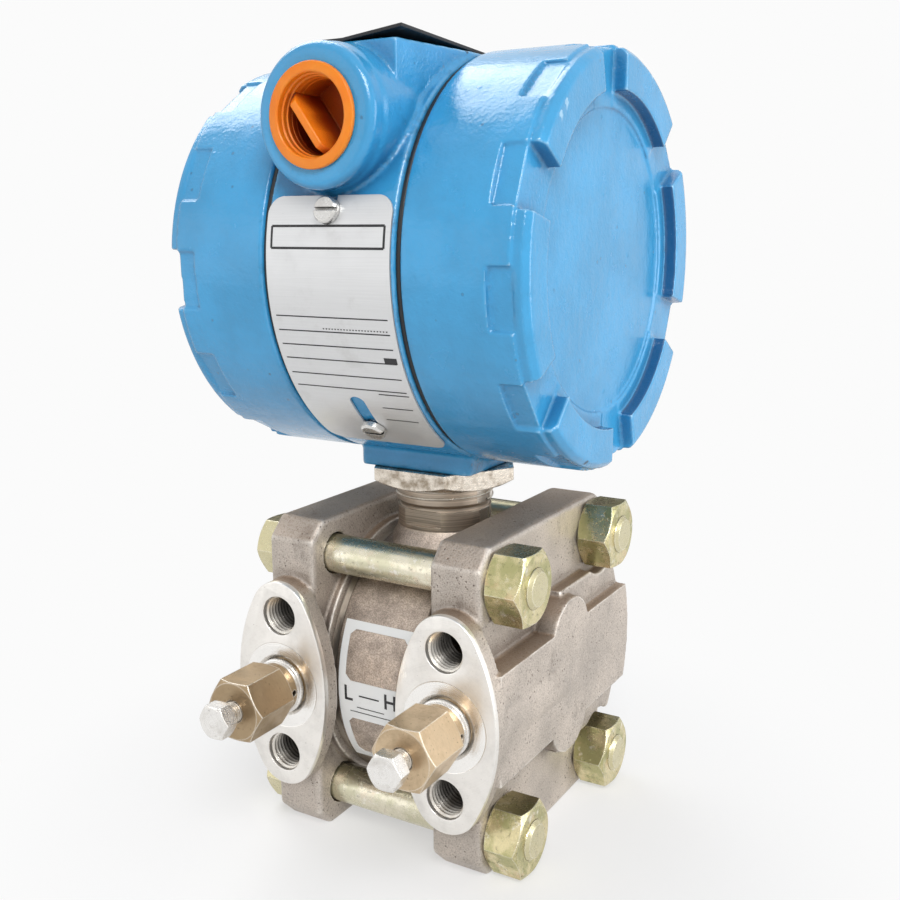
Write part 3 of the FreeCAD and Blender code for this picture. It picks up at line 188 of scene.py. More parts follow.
class Shader:
    """The node tree of a material or world, with the few patterns the finishes share."""

    def __init__(self, owner: Union[Material, bpy.types.World]) -> None:
        """Empty the owner's node tree."""
        owner.use_nodes = True
        self.tree = owner.node_tree
        self.tree.nodes.clear()
        self._place: Optional[Wire] = None

    def node(self, kind: str, settings: Optional[dict] = None, inputs: Optional[dict] = None,
             output: Union[int, str] = 0) -> Wire:
        """Add one node.

        Args:
            kind: the node's type.
            settings: its own settings, which are set first.
            inputs: values or wires by socket name or number.
            output: the socket to return.

        Returns:
            The chosen output.
        """
        made = self.tree.nodes.new(kind)
        for key, value in (settings or {}).items():
            setattr(made, key, value)
        for key, value in (inputs or {}).items():
            if isinstance(value, Wire):
                self.tree.links.new(value.socket, made.inputs[key])
            elif made.inputs[key].type == "RGBA":
                made.inputs[key].default_value = (*value, 1.0)
            else:
                made.inputs[key].default_value = value
        return Wire(self, made.outputs[output])

    def output(self, shade: Wire, owner: str = "Material") -> None:
        """Join a shader to the output of the material or world."""
        made = self.tree.nodes.new(f"ShaderNodeOutput{owner}")
        self.tree.links.new(shade.socket, made.inputs["Surface"])

    def vector(self, operation: str, *values: Union[Wire, Sequence[float]]) -> Wire:
        """Add one Vector Math node, whose dot products and lengths are plain values."""
        output = "Value" if operation in ("DOT_PRODUCT", "LENGTH") else "Vector"
        return self.node("ShaderNodeVectorMath", {"operation": operation}, dict(enumerate(values)), output)

    @property
    def place(self) -> Wire:
        """The point on the piece, in metres."""
        if self._place is None:
            self._place = self.node("ShaderNodeTexCoord", output="Object")
        return self._place

    def along(self, axis: Axis) -> Wire:
        """The point's distance along an axis, in millimetres."""
        return self.vector("DOT_PRODUCT", self.place, [part / MM for part in axis.value])

    def across(self, centre: Point, axis: Axis, factor: float) -> Wire:
        """The point's offset from a line along an axis, in metres, times a factor."""
        moved = self.vector("SUBTRACT", self.place, [part * MM for part in centre])
        return self.vector("MULTIPLY", moved, [factor * (1.0 - part) for part in axis.value])

    def from_line(self, centre: Point, axis: Axis) -> Wire:
        """The point's distance from a line along an axis, in millimetres."""
        return self.vector("LENGTH", self.across(centre, axis, 1.0 / MM))

    def inward(self, centre: Point, axis: Axis) -> Wire:
        """Direction from the point towards a line along an axis."""
        return self.vector("NORMALIZE", self.across(centre, axis, -1.0))

    def noise(self, grain: float, detail: float = 3.0, rough: float = 0.55,
              stretch: Sequence[float] = (1.0, 1.0, 1.0), shift: float = 0.0) -> Wire:
        """Soft random pattern.

        Args:
            grain: size of its patches in millimetres.
            detail: number of finer layers.
            rough: weight of the finer layers.
            stretch: how much finer it is along each axis.
            shift: moves the pattern, so that two don't match.

        Returns:
            A value about 0.5.
        """
        at = self.node("ShaderNodeMapping", {"vector_type": "POINT"},
                       {"Vector": self.place, "Scale": stretch,
                        "Location": (shift, shift * 0.7, shift * 1.3)})
        return self.node("ShaderNodeTexNoise", {"noise_dimensions": "3D"},
                         {"Vector": at, "Scale": 1.0 / (grain * MM), "Detail": detail, "Roughness": rough})

    def lines(self, at: Wire, density: float, rough: float = 0.5) -> Wire:
        """Random lines across a value, density of them to each unit of it."""
        return self.node("ShaderNodeTexNoise", {"noise_dimensions": "1D"},
                         {"W": at, "Scale": density, "Detail": 2.0, "Roughness": rough})

    def cells(self, grain: float, shift: float = 0.0) -> Wire:
        """Distance from scattered points a grain apart, in grains."""
        at = self.node("ShaderNodeMapping", {"vector_type": "POINT"},
                       {"Vector": self.place, "Location": (shift, shift, shift)})
        return self.node("ShaderNodeTexVoronoi", {"feature": "F1"},
                         {"Vector": at, "Scale": 1.0 / (grain * MM)}, "Distance")

    def edges(self) -> Wire:
        """Above 0.5 on sharp outer edges, below it in hollows."""
        return self.node("ShaderNodeNewGeometry", output="Pointiness")

    def seen(self) -> Wire:
        """1 for the rays that show the backdrop: direct, mirrored and let through."""
        direct, mirrored, through = (self.node("ShaderNodeLightPath", output=f"Is {ray} Ray")
                                     for ray in ("Camera", "Glossy", "Transmission"))
        return direct.larger(mirrored).larger(through)

    def blend(self, factor: Number, first: Tone, second: Tone) -> Wire:
        """Mix two colours."""
        return self.node("ShaderNodeMix", {"data_type": "RGBA", "blend_type": "MIX"},
                         {0: factor, 6: first, 7: second}, 2)

    def layers(self, tone: Tone, *coats: tuple[Number, Tone]) -> Wire:
        """Lay colours over a tone.

        Args:
            tone: what lies below.
            coats: each colour with the share of it that covers, from below to above.

        Returns:
            The covered tone.
        """
        for factor, colour in coats:
            tone = self.blend(factor, tone, colour)
        return tone

    def rounded(self, radius: float) -> Wire:
        """Normal of edges rounded by a radius in millimetres."""
        return self.node("ShaderNodeBevel", {"samples": 4}, {"Radius": radius * MM})

    def edge_wear_and_highlight(self, radius: float) -> Wire:
        """1 along sharp edges and 0 elsewhere, from how far rounding turns the normal; the finishes paint
        edge wear and highlight with it.
        """
        flat = self.node("ShaderNodeNewGeometry", output="Normal")
        return self.vector("DOT_PRODUCT", self.rounded(radius), flat).span(0.995, 0.93)

    def shelter(self, reach: float, bare_and_lit: float = 0.88, deep: float = 0.3) -> Wire:
        """0 on open faces and 1 deep in a hollow, from ambient occlusion; the finishes darken their colour
        with it as painted shade.

        Args:
            reach: how far a wall still counts, in millimetres.
            bare_and_lit: share of open sky that gives 0.
            deep: share of open sky that gives 1.

        Returns:
            The mask.
        """
        sky = self.node("ShaderNodeAmbientOcclusion", {"samples": 8, "only_local": True},
                        {"Distance": reach * MM}, "AO")
        return sky.span(bare_and_lit, deep)

    def facing(self, way: Union[Point, Wire], low: float = 0.45, high: float = 0.9) -> Wire:
        """1 on faces that look along a direction and 0 on the others.

        Args:
            way: the direction, of length 1.
            low: cosine that gives 0.
            high: cosine that gives 1.

        Returns:
            The mask.
        """
        normal = self.node("ShaderNodeTexCoord", output="Normal")
        return self.vector("DOT_PRODUCT", normal, way).span(low, high)

    def surface(self, tone: Tone, rough: Wire, height: Wire, edge: float = 0.0,
                **more: Union[Number, Colour]) -> None:
        """Finish the material with one Principled surface.

        Args:
            tone: its colour.
            rough: its roughness.
            height: its relief, in millimetres.
            edge: radius that its sharp edges are shaded with, in millimetres.
            more: its other sockets, with underscores for spaces.
        """
        relief = {"Height": height, "Distance": MM, "Strength": 1.0}
        if edge:
            relief["Normal"] = self.rounded(edge)
        sockets = {"Base Color": tone, "Roughness": rough, "Normal": self.node("ShaderNodeBump", {}, relief)}
        sockets.update((key.replace("_", " "), value) for key, value in more.items())
        self.output(self.node("ShaderNodeBsdfPrincipled", {}, sockets))


@dataclass(frozen=True)
class Finish:
    """A finish: a name and the nodes that make it."""

    name: str

    def nodes(self, shader: Shader) -> None:
        """Fill the shader; each finish has its own."""
        raise NotImplementedError

    def material(self) -> Material:
        """The finish's material, made once.

        Returns:
            The material.
        """
        name = f"finish_{self.name}"
        made = bpy.data.materials.get(name)
        if made is None:
            made = bpy.data.materials.new(name)
            self.nodes(Shader(made))
        return made


# ---------------------------------------------------------------------- finishes


@dataclass(frozen=True)
class CastPaint(Finish):
    """Thick gloss paint on an aluminium casting, with painted shade below, on inward walls and in its
    hollows, dirt and painted shade in its creases, and edge wear with painted highlight.
    """

    colour: Colour = (0.046, 0.345, 0.665)
    # Light blue that sharp edges take: edge wear and painted highlight.
    edge_wear_and_highlight: Colour = (0.42, 0.70, 0.90)
    # Dark blue of the painted shade below, on inward walls and in hollows.
    deep: Colour = (0.008, 0.085, 0.22)
    # Colour of the dirt, smears, specks and chips, and of the painted shade in creases.
    grime_and_shade: Colour = (0.012, 0.04, 0.07)
    gloss: float = 0.19
    peel: float = 0.12
    seam: float = 19.6
    centre: Point = HOUSING_LINE

    def nodes(self, shader: Shader) -> None:
        """Paint colour, specks, seam dirt, painted shade, edge wear with painted highlight, orange peel and
        gloss.

        Args:
            shader: the empty material.
        """
        patches = shader.noise(22.0, 4.0, 0.6)
        # Lighter blue along sharp edges: edge wear and painted highlight.
        bare_and_lit = shader.edges().span(0.52, 0.585) * shader.noise(5.0, 4.0, 0.65, shift=2.0).span(0.2, 0.5)
        # Faces that look down get painted shade.
        below = shader.facing((0.0, 0.0, -1.0), 0.3, 0.95)
        # Walls that face the cover's axis, and hollows, get painted shade.
        inner = shader.facing(shader.inward(self.centre, Axis.X), 0.55, 0.85) * 0.95
        tone = shader.layers(
            shader.blend(patches.span(0.35, 0.7), scaled(self.colour, 0.93), scaled(self.colour, 1.1)),
            (bare_and_lit * 0.75, self.edge_wear_and_highlight),
            (below * 0.35, self.deep),
            (inner.larger(shader.shelter(16.0, 0.93, 0.35) * 0.92), self.deep))
        # Darker in creases, in patches: partly dirt and partly painted shade.
        dirt = shader.edges().span(0.49, 0.43) * shader.noise(3.0, 4.0, 0.7, shift=5.0).span(0.38, 0.7)
        seam = (shader.along(Axis.X).size() - self.seam).size().span(3.6, 0.4)
        smear = seam * shader.noise(6.0, 5.0, 0.72, shift=9.0).span(0.5, 0.74)
        streak = shader.noise(16.0, 5.0, 0.7, (1.0, 1.6, 1.6), 4.0).span(0.6, 0.78)
        scuff = streak * shader.noise(1.6, 3.0, 0.7, shift=1.0).span(0.42, 0.66)
        specks = shader.cells(7.0, 0.3).span(0.085, 0.05)
        chips = shader.cells(17.0, 0.8).span(0.055, 0.04) * shader.noise(30.0, shift=7.0).span(0.5, 0.55)
        marks = (dirt * 0.75).larger(smear * 0.6).larger(scuff * 0.1).larger(specks * 0.4).larger(chips * 0.8)
        ripple = shader.noise(1.0, 2.0, 0.55) + shader.noise(5.5, 3.0, 0.5, shift=3.0) * 2.2
        height = (ripple + shader.cells(9.0, 0.5).span(0.1, 0.0) * 1.1) * self.peel
        gloss = shader.noise(8.0, 4.0, 0.6, shift=6.0).span(0.3, 0.75, self.gloss - 0.05, self.gloss + 0.1)
        shader.surface(shader.blend(marks, tone, self.grime_and_shade), gloss + marks * 0.3, height,
                       Specular_IOR_Level=0.5, Coat_Weight=0.25, Coat_Roughness=0.12)


@dataclass(frozen=True)
class CastSteel(Finish):
    """Blasted stainless casting: warm grey, grainy, with bright edges of wear and painted highlight, and
    painted shade in its hollows and on its tops.
    """

    colour: Colour = (0.56, 0.498, 0.44)
    deep: Colour = (0.13, 0.10, 0.08)
    bright: Colour = (0.90, 0.86, 0.80)
    # Brown of the painted shade on faces that look up.
    top_shade: Colour = (0.30, 0.17, 0.075)
    grain: float = 0.16
    rough: float = 0.5

    def nodes(self, shader: Shader) -> None:
        """Mottled colour, grain, pits, edges of wear and painted highlight, and painted shade in hollows and
        on faces that look up.

        Args:
            shader: the empty material.
        """
        wide = shader.noise(18.0, 5.0, 0.62)
        fine = shader.noise(0.42, 3.0, 0.65, shift=2.0)
        # Brighter along sharp edges: edge wear and painted highlight.
        edge = shader.edges().span(0.508, 0.55) * shader.noise(4.0, 4.0, 0.6, shift=8.0).span(0.3, 0.6)
        # Darker in creases and hollows: painted shade.
        hollow = shader.edges().span(0.495, 0.44).larger(shader.shelter(18.0, 0.92, 0.35))
        pits = shader.cells(1.5, 0.4).span(0.24, 0.1) * shader.noise(9.0, shift=4.0).span(0.42, 0.58)
        stain = shader.noise(9.0, 6.0, 0.7, (1.0, 1.0, 0.6), 11.0).span(0.56, 0.75)
        tone = shader.layers(
            shader.blend(wide.span(0.3, 0.72), scaled(self.colour, 0.86), scaled(self.colour, 1.12)),
            (fine.span(0.52, 0.32) * 0.5, self.deep),
            (fine.span(0.58, 0.74) * 0.4, self.bright),
            (edge * 0.8, self.bright),
            (hollow * 0.85, self.deep),
            (pits * 0.8, self.deep),
            (stain * 0.5, self.deep),
            # Faces that look up get painted shade, as in the housing's shadow.
            (shader.facing(Axis.Z.value) * 0.42, self.top_shade))
        height = (fine + shader.noise(1.6, 3.0, 0.6, shift=1.0) * 1.2 - pits * 0.8) * self.grain
        rough = wide.span(0.3, 0.7, self.rough - 0.06, self.rough + 0.08) - edge * 0.12
        shader.surface(tone, rough, height, 0.35, Metallic=0.62)


@dataclass(frozen=True)
class MilledSteel(Finish):
    """Flat milled face with fine swept lines and a brighter spot face round its port."""

    colour: Colour = (0.86, 0.83, 0.785)
    bright: Colour = (0.97, 0.955, 0.93)
    centre: Point = (PORT_X, 0.0, 0.0)
    spot: float = 12.7

    def nodes(self, shader: Shader) -> None:
        """Swept milling marks, scratches, stains, edge wear with painted highlight and painted shade in the
        holes.

        Args:
            shader: the empty material.
        """
        away = shader.from_line(self.centre, Axis.Y)
        lines = shader.lines(away, 4.2, 0.7)
        spot = away.span(self.spot, self.spot - 0.3)
        stain = shader.noise(7.0, 5.0, 0.65, shift=3.0)
        nicks = shader.noise(0.6, 2.0, 0.6, shift=6.0).span(0.66, 0.76)
        tone = shader.layers(
            self.colour,
            (stain.span(0.4, 0.72) * 0.5, scaled(self.colour, 0.72)),
            # Edges get edge wear and painted highlight.
            (spot * 0.6 + shader.edge_wear_and_highlight(0.35) * 0.4, self.bright),
            # Hollows, such as the holes, get painted shade.
            (shader.shelter(6.0, 0.7, 0.3) * 0.9, (0.05, 0.04, 0.03)),
            (lines.span(0.42, 0.62) * 0.16, (0.95, 0.93, 0.90)),
            (nicks * 0.6, (0.25, 0.21, 0.17)))
        height = lines * 0.03 + shader.noise(2.5, 2.0) * 0.03 - nicks * 0.03 - spot * 0.12
        rough = stain.span(0.35, 0.7, 0.3, 0.42) - spot * 0.2 + nicks * 0.2
        shader.surface(tone, rough, height, 0.2, Metallic=0.9)


@dataclass(frozen=True)
class TurnedSteel(Finish):
    """Machined metal with turning lines about one axis.

    A hole's threads take painted shade, growing from both ends of the flange towards bore_middle; 0 is no
    hole.
    """

    colour: Colour = (0.62, 0.57, 0.50)
    tint: Colour = (0.45, 0.38, 0.30)
    centre: Point = (0.0, 0.0, 0.0)
    axis: Axis = Axis.Y
    rough: float = 0.28
    pitch: float = 0.25
    edge: float = 0.3
    patina: float = 0.35
    dirt: float = 0.4
    # Share of edge wear and painted highlight along sharp edges.
    wear: float = 0.35
    metal: float = 0.9
    # How far the painted shade in hollows reaches, in millimetres.
    reach: float = 2.5
    bore_middle: float = 0.0

    def nodes(self, shader: Shader) -> None:
        """Lines along and about the axis, patina, handling marks, edge wear with painted highlight, and
        painted shade in hollows and holes.

        Args:
            shader: the empty material.
        """
        along = shader.along(self.axis)
        away = shader.from_line(self.centre, self.axis)
        at = shader.node("ShaderNodeCombineXYZ", {}, {"X": along, "Y": away})
        lines = shader.node("ShaderNodeTexNoise", {"noise_dimensions": "2D"},
                            {"Vector": at, "Scale": 1.0 / self.pitch, "Detail": 2.0, "Roughness": 0.6})
        patina = shader.noise(4.5, 5.0, 0.65, shift=2.0)
        spots = shader.noise(0.8, 3.0, 0.6, shift=7.0).span(0.62, 0.74)
        tone = shader.layers(
            self.colour,
            (patina.span(0.42, 0.68) * self.patina, self.tint),
            (lines.span(0.4, 0.65) * 0.12, scaled(self.colour, 1.35)),
            (spots * self.dirt, scaled(self.tint, 0.3)),
            # Sharp edges get edge wear and painted highlight.
            (shader.edge_wear_and_highlight(self.edge) * self.wear, (0.95, 0.91, 0.82)),
            # Hollows get painted shade.
            (shader.shelter(self.reach, 0.75, 0.2) * 0.9, scaled(self.tint, 0.15)))
        # Deeper into a hole, the threads get more painted shade.
        if self.bore_middle:
            depth = self.bore_middle - (along - self.bore_middle).size()
            tone = shader.blend(depth.span(0.5, 8.0) * 0.93, tone, (0.01, 0.008, 0.006))
        height = lines * 0.025 + shader.noise(1.2, 3.0, 0.55) * 0.02 - spots * 0.02
        rough = patina.span(0.35, 0.7, self.rough - 0.05, self.rough + 0.12) + spots * 0.2
        shader.surface(tone, rough, height, self.edge, Metallic=self.metal)


@dataclass(frozen=True)
class YellowZinc(Finish):
    """Yellow-passivated zinc plating with drifting green, gold and rose.

    Past end, in millimetres from the middle along X, it takes end_colour.
    """

    gold: Colour = (0.72, 0.63, 0.37)
    olive: Colour = (0.44, 0.42, 0.20)
    rose: Colour = (0.70, 0.50, 0.30)
    pale: Colour = (0.92, 0.88, 0.76)
    # Dark colour of the painted shade on faces that look up.
    top_shade: Colour = (0.13, 0.11, 0.04)
    film: float = 0.75
    end: float = 200.0
    end_colour: Colour = (0.62, 0.56, 0.33)

    def nodes(self, shader: Shader) -> None:
        """Drifting tints, dull patches, pale rubbed spots, painted shade on faces that look up, and edge wear
        with painted highlight.

        Args:
            shader: the empty material.
        """
        drift = shader.noise(7.0, 4.0, 0.6)
        film = shader.noise(1.3, 5.0, 0.75, shift=6.0).span(0.55, 0.7)
        end = shader.along(Axis.X).size().span(self.end - 1.0, self.end)
        tone = shader.layers(
            self.gold,
            (drift.span(0.38, 0.6), self.olive),
            (shader.noise(5.0, 3.0, 0.6, shift=4.0).span(0.55, 0.72) * 0.6, self.rose),
            (shader.noise(3.4, 5.0, 0.7, shift=8.0).span(0.56, 0.72) * 0.75, self.pale),
            (end * 0.8, self.end_colour),
            # Faces that look up get painted shade.
            (shader.facing(Axis.Z.value, 0.6, 0.95) * 0.65, self.top_shade),
            (film * self.film, scaled(self.olive, 0.22)),
            # Sharp edges get edge wear and painted highlight.
            (shader.edge_wear_and_highlight(0.45) * 0.6, (0.95, 0.91, 0.78)))
        waves = shader.noise(3.0, 3.0, 0.5, shift=3.0)
        height = shader.noise(0.6, 3.0, 0.6) * 0.03 + waves * 0.05 - film * 0.03
        shader.surface(tone, drift.span(0.3, 0.7, 0.2, 0.32) + film * 0.2, height, 0.4, Metallic=0.85)


@dataclass(frozen=True)
class CellSteel(Finish):
    """Cell body: a dark blasted band between bright turned rims, and a turned neck."""

    band: Colour = (0.58, 0.485, 0.41)
    rim: Colour = (0.72, 0.67, 0.60)
    neck: Colour = (0.37, 0.31, 0.25)
    rim_start: float = 13.6
    neck_start: float = 41.0

    def nodes(self, shader: Shader) -> None:
        """Choose band, rim or neck by place, each with its own grain; painted shade in hollows and near the
        flanges.

        Args:
            shader: the empty material.
        """
        side = shader.along(Axis.X).size()
        up = shader.along(Axis.Z)
        rim = side.span(self.rim_start - 0.05, self.rim_start + 0.05)
        neck = up.span(self.neck_start - 1.0, self.neck_start + 1.0)
        body = 1.0 - neck
        mottle = shader.noise(6.0, 5.0, 0.7)
        grain = shader.noise(0.38, 3.0, 0.7, shift=2.0)
        lines = shader.lines(up, 2.4)
        groove = (side - self.rim_start).size().span(0.9, 0.0) * body
        # Darker towards both ends, near the flanges: painted shade.
        near = side.span(6.0, 15.0) * body
        tone = shader.layers(
            shader.blend(mottle.span(0.3, 0.7), scaled(self.band, 0.66), scaled(self.band, 1.2)),
            (grain.span(0.6, 0.4) * 0.45, (0.10, 0.08, 0.065)),
            # Hollows get painted shade.
            (shader.shelter(9.0, 0.85, 0.25) * 0.85, (0.05, 0.04, 0.03)),
            (neck, shader.blend(lines.span(0.4, 0.6), self.neck, scaled(self.neck, 1.5))),
            (rim, shader.blend(mottle.span(0.45, 0.7) * 0.5, self.rim, self.band)),
            ((groove * 0.85).larger(near * 0.4), (0.04, 0.03, 0.02)))
        height = grain * (1.0 - rim) * (1.0 - neck * 0.7) * 0.09 + mottle * 0.05 + lines * neck * 0.03
        shader.surface(tone, 0.5 - rim * 0.2 - neck * 0.12, height, 0.35, Metallic=0.9)


@dataclass(frozen=True)
class MouldedPlastic(Finish):
    """Moulded plastic with a fine grain and slight clouding."""

    colour: Colour = (0.93, 0.265, 0.012)
    shade: Colour = (0.86, 0.185, 0.008)
    # Colour of the painted shade in the hollow.
    deep: Colour = (0.22, 0.014, 0.0)
    rough: float = 0.36
    glow: float = 0.15

    def nodes(self, shader: Shader) -> None:
        """Clouded colour, mould grain, painted shade in its hollow and soft light inside.

        Args:
            shader: the empty material.
        """
        cloud = shader.noise(6.0, 3.0, 0.55)
        dust = shader.noise(0.9, 4.0, 0.7, shift=3.0).span(0.66, 0.8)
        tone = shader.layers(
            self.colour,
            (cloud.span(0.35, 0.7) * 0.5, self.shade),
            # The hollow gets painted shade.
            (shader.shelter(12.0, 0.64, 0.2) * 0.93, self.deep),
            (dust * 0.25, scaled(self.colour, 0.4)))
        height = shader.noise(0.5, 2.0, 0.5, shift=1.0) * 0.012 + shader.noise(3.0, 2.0) * 0.03
        shader.surface(tone, cloud.span(0.3, 0.7, self.rough - 0.05, self.rough + 0.08), height, 0.5,
                       Subsurface_Weight=self.glow, Subsurface_Scale=1.2 * MM)


@dataclass(frozen=True)
class SatinPlate(Finish):
    """Satin metal sheet with faint brushing along X."""

    colour: Colour = (0.70, 0.705, 0.71)
    rough: float = 0.38

    def nodes(self, shader: Shader) -> None:
        """Brushed lines, smudges and small scratches.

        Args:
            shader: the empty material.
        """
        brushed = shader.noise(1.0, 3.0, 0.7, (0.05, 6.0, 6.0))
        smudge = shader.noise(9.0, 5.0, 0.65, shift=4.0)
        marks = shader.noise(1.2, 4.0, 0.75, shift=9.0).span(0.68, 0.78)
        tone = shader.layers(
            self.colour,
            (brushed.span(0.35, 0.65) * 0.16, (0.50, 0.50, 0.50)),
            (smudge.span(0.55, 0.75) * 0.22, (0.42, 0.41, 0.39)),
            (marks * 0.35, (0.22, 0.21, 0.20)))
        rough = smudge.span(0.35, 0.7, self.rough - 0.05, self.rough + 0.1)
        shader.surface(tone, rough, brushed * 0.012, 0.15, Metallic=0.55)


@dataclass(frozen=True)
class LabelFilm(Finish):
    """White printed film, slightly soiled."""

    colour: Colour = (0.83, 0.84, 0.835)

    def nodes(self, shader: Shader) -> None:
        """Off-white with soil and a satin face.

        Args:
            shader: the empty material.
        """
        soil = shader.noise(4.0, 5.0, 0.7)
        tone = shader.blend(soil.span(0.58, 0.78) * 0.4, self.colour, (0.48, 0.46, 0.42))
        height = shader.noise(2.0, 3.0, 0.5, shift=2.0) * 0.02
        shader.surface(tone, soil.span(0.3, 0.7, 0.34, 0.46), height, 0.1)


@dataclass(frozen=True)
class DarkFilm(Finish):
    """Black ink, rubber or painted sheet, by its gloss."""

    colour: Colour = (0.010, 0.010, 0.011)
    rough: float = 0.5
    wear: float = 0.1

    def nodes(self, shader: Shader) -> None:
        """Near black with pale dust and uneven gloss.

        Args:
            shader: the empty material.
        """
        dust = shader.noise(2.4, 5.0, 0.7)
        tone = shader.blend(dust.span(0.52, 0.75) * self.wear, self.colour, (0.30, 0.30, 0.30))
        height = shader.noise(0.9, 3.0, 0.6, shift=2.0) * 0.02
        shader.surface(tone, dust.span(0.3, 0.7, self.rough - 0.08, self.rough + 0.1), height, 0.3)


@dataclass(frozen=True)
class CircuitBoard(Finish):
    """Green solder mask with fine copper lines under it."""

    mask: Colour = (0.02, 0.16, 0.06)
    track: Colour = (0.06, 0.30, 0.12)

    def nodes(self, shader: Shader) -> None:
        """Tracks on a square grid under gloss lacquer.

        Args:
            shader: the empty material.
        """
        at = shader.node("ShaderNodeMapping", {},
                         {"Vector": shader.place, "Rotation": (0.0, math.pi / 2, 0.0)})
        rows = shader.node("ShaderNodeTexBrick", {"offset": 0.35, "squash": 1.0},
                           {"Vector": at, "Scale": 160.0, "Mortar Size": 0.03, "Color1": self.mask,
                            "Color2": scaled(self.mask, 1.2), "Mortar": self.track}, "Color")
        shader.surface(rows, shader.noise(5.0).span(0.3, 0.7, 0.22, 0.34), shader.noise(1.5, 2.0) * 0.02)


PAINT = CastPaint("housing_blue_paint")
STEEL = CastSteel("blasted_cast_steel")
ZINC = YellowZinc("yellow_zinc")
# Bolt shanks are paler than their gold ends and the nuts: painted highlight.
BOLT_ZINC = YellowZinc("pale_highlit_zinc", (0.80, 0.75, 0.60), (0.66, 0.63, 0.46), (0.74, 0.62, 0.48),
                       (0.95, 0.93, 0.88), film=0.35, end=30.0)
CELL = CellSteel("cell_steel")
NUT_STEEL = TurnedSteel("lock_nut_steel", (0.76, 0.69, 0.60), (0.17, 0.115, 0.06), STEM_LINE, Axis.Z,
                        0.25, 0.5, 0.35, 0.8)
THREAD_STEEL = TurnedSteel("thread_steel", (0.80, 0.75, 0.67), (0.36, 0.29, 0.21), STEM_LINE, Axis.Z,
                           0.3, reach=1.4)
SCREW_STEEL = TurnedSteel("screw_steel", (0.66, 0.65, 0.63), (0.40, 0.38, 0.35), axis=Axis.X, rough=0.26,
                          pitch=0.6, edge=0.2)
DIAPHRAGM_STEEL = TurnedSteel("diaphragm_steel", (0.66, 0.65, 0.62), (0.5, 0.48, 0.44), STEM_LINE, Axis.X)
SEAL_RUBBER = DarkFilm("seal_rubber", rough=0.42, wear=0.05)
TAG_SHEET = DarkFilm("tag_sheet", wear=0.08)
INK = DarkFilm("printing_ink", (0.02, 0.02, 0.022))
CARD_CLOTH = DarkFilm("card_cloth", (0.02, 0.02, 0.02), 0.9, 0.05)
PLUG_PLASTIC = MouldedPlastic("plug_plastic")
BLOCK_PLASTIC = MouldedPlastic("block_plastic", (0.03, 0.03, 0.035), (0.05, 0.05, 0.055),
                               (0.01, 0.01, 0.01), 0.42, 0.0)
SEAL_WHITE = MouldedPlastic("seal_white", (0.80, 0.79, 0.75), (0.70, 0.68, 0.62), (0.4, 0.38, 0.34), 0.4, 0.1)
PLATE = SatinPlate("satin_plate")
LABEL = LabelFilm("label_film")
BOARD = CircuitBoard("board_green")


# -------------------------------------------------------------------- mesh tools


def placed(name: str, data: bpy.types.ID) -> Object:
    """Put a mesh, curve, lamp or camera into the scene.

    Args:
        name: name of its object.
        data: what the object shows.

    Returns:
        The object, at the origin.
    """
    made = bpy.data.objects.new(name, data)
    bpy.context.scene.collection.objects.link(made)
    return made


def baked(blank: Object) -> Mesh:
    """Keep the mesh that an object shows, and remove the object.

    Args:
        blank: the object.

    Returns:
        The mesh, with its modifiers applied.
    """
    bpy.context.view_layer.update()
    graph = bpy.context.evaluated_depsgraph_get()
    made = bpy.data.meshes.new_from_object(blank.evaluated_get(graph))
    bpy.data.objects.remove(blank)
    return made


def merged(node: Object) -> BMesh:
    """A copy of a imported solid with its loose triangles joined.

    Args:
        node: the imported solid.

    Returns:
        The joined mesh.
    """
    shape = bmesh.new()
    shape.from_mesh(node.data)
    bmesh.ops.remove_doubles(shape, verts=shape.verts, dist=0.004 * MM)
    return shape


def crisp(shape: BMesh, angle: float) -> BMesh:
    """Shade a mesh smooth and keep its sharp edges.

    Args:
        shape: the mesh.
        angle: how far a sharp edge turns, in degrees.

    Returns:
        The same mesh.
    """
    for face in shape.faces:
        face.smooth = True
    for edge in shape.edges:
        edge.smooth = len(edge.link_faces) == 2 and edge.calc_face_angle(0.0) < math.radians(angle)
    return shape


def to_mesh(shape: BMesh, name: str) -> Mesh:
    """Turn a bmesh into a mesh and free it.

    Args:
        shape: the bmesh.
        name: name of the mesh.

    Returns:
        The mesh.
    """
    mesh = bpy.data.meshes.new(name)
    shape.to_mesh(mesh)
    shape.free()
    return mesh


def modified(mesh: Mesh, name: str, steps: Sequence[tuple[str, dict]]) -> Mesh:
    """Run modifiers over a mesh and keep their result.

    Args:
        mesh: the mesh to start from.
        name: name of the result.
        steps: each modifier's type and its settings.

    Returns:
        The finished mesh.
    """
    blank = placed(name, mesh)
    for kind, settings in steps:
        modifier = blank.modifiers.new(kind.lower(), kind)
        for key, value in settings.items():
            setattr(modifier, key, value)
    made = baked(blank)
    bpy.data.meshes.remove(mesh)
    made.name = name
    return made


def cast(shape: BMesh, name: str, voxel: float) -> Mesh:
    """Soften a closed mesh as a casting is, with every edge rounded.

    Args:
        shape: the closed mesh.
        name: name of the result.
        voxel: size of its facets, in millimetres.

    Returns:
        The softened mesh, shaded smooth and thinned to MOST_TRIANGLES triangles.
    """
    made = modified(to_mesh(shape, name), name, [
        ("REMESH", {"mode": "VOXEL", "voxel_size": voxel * MM, "adaptivity": 0.0, "use_smooth_shade": True}),
        ("SMOOTH", {"factor": 0.5, "iterations": CAST_PASSES}),
    ])
    share = min(1.0, MOST_TRIANGLES / (2 * len(made.polygons)))
    made = modified(made, name, [("DECIMATE", {"ratio": share})])
    made.shade_smooth()
    return made


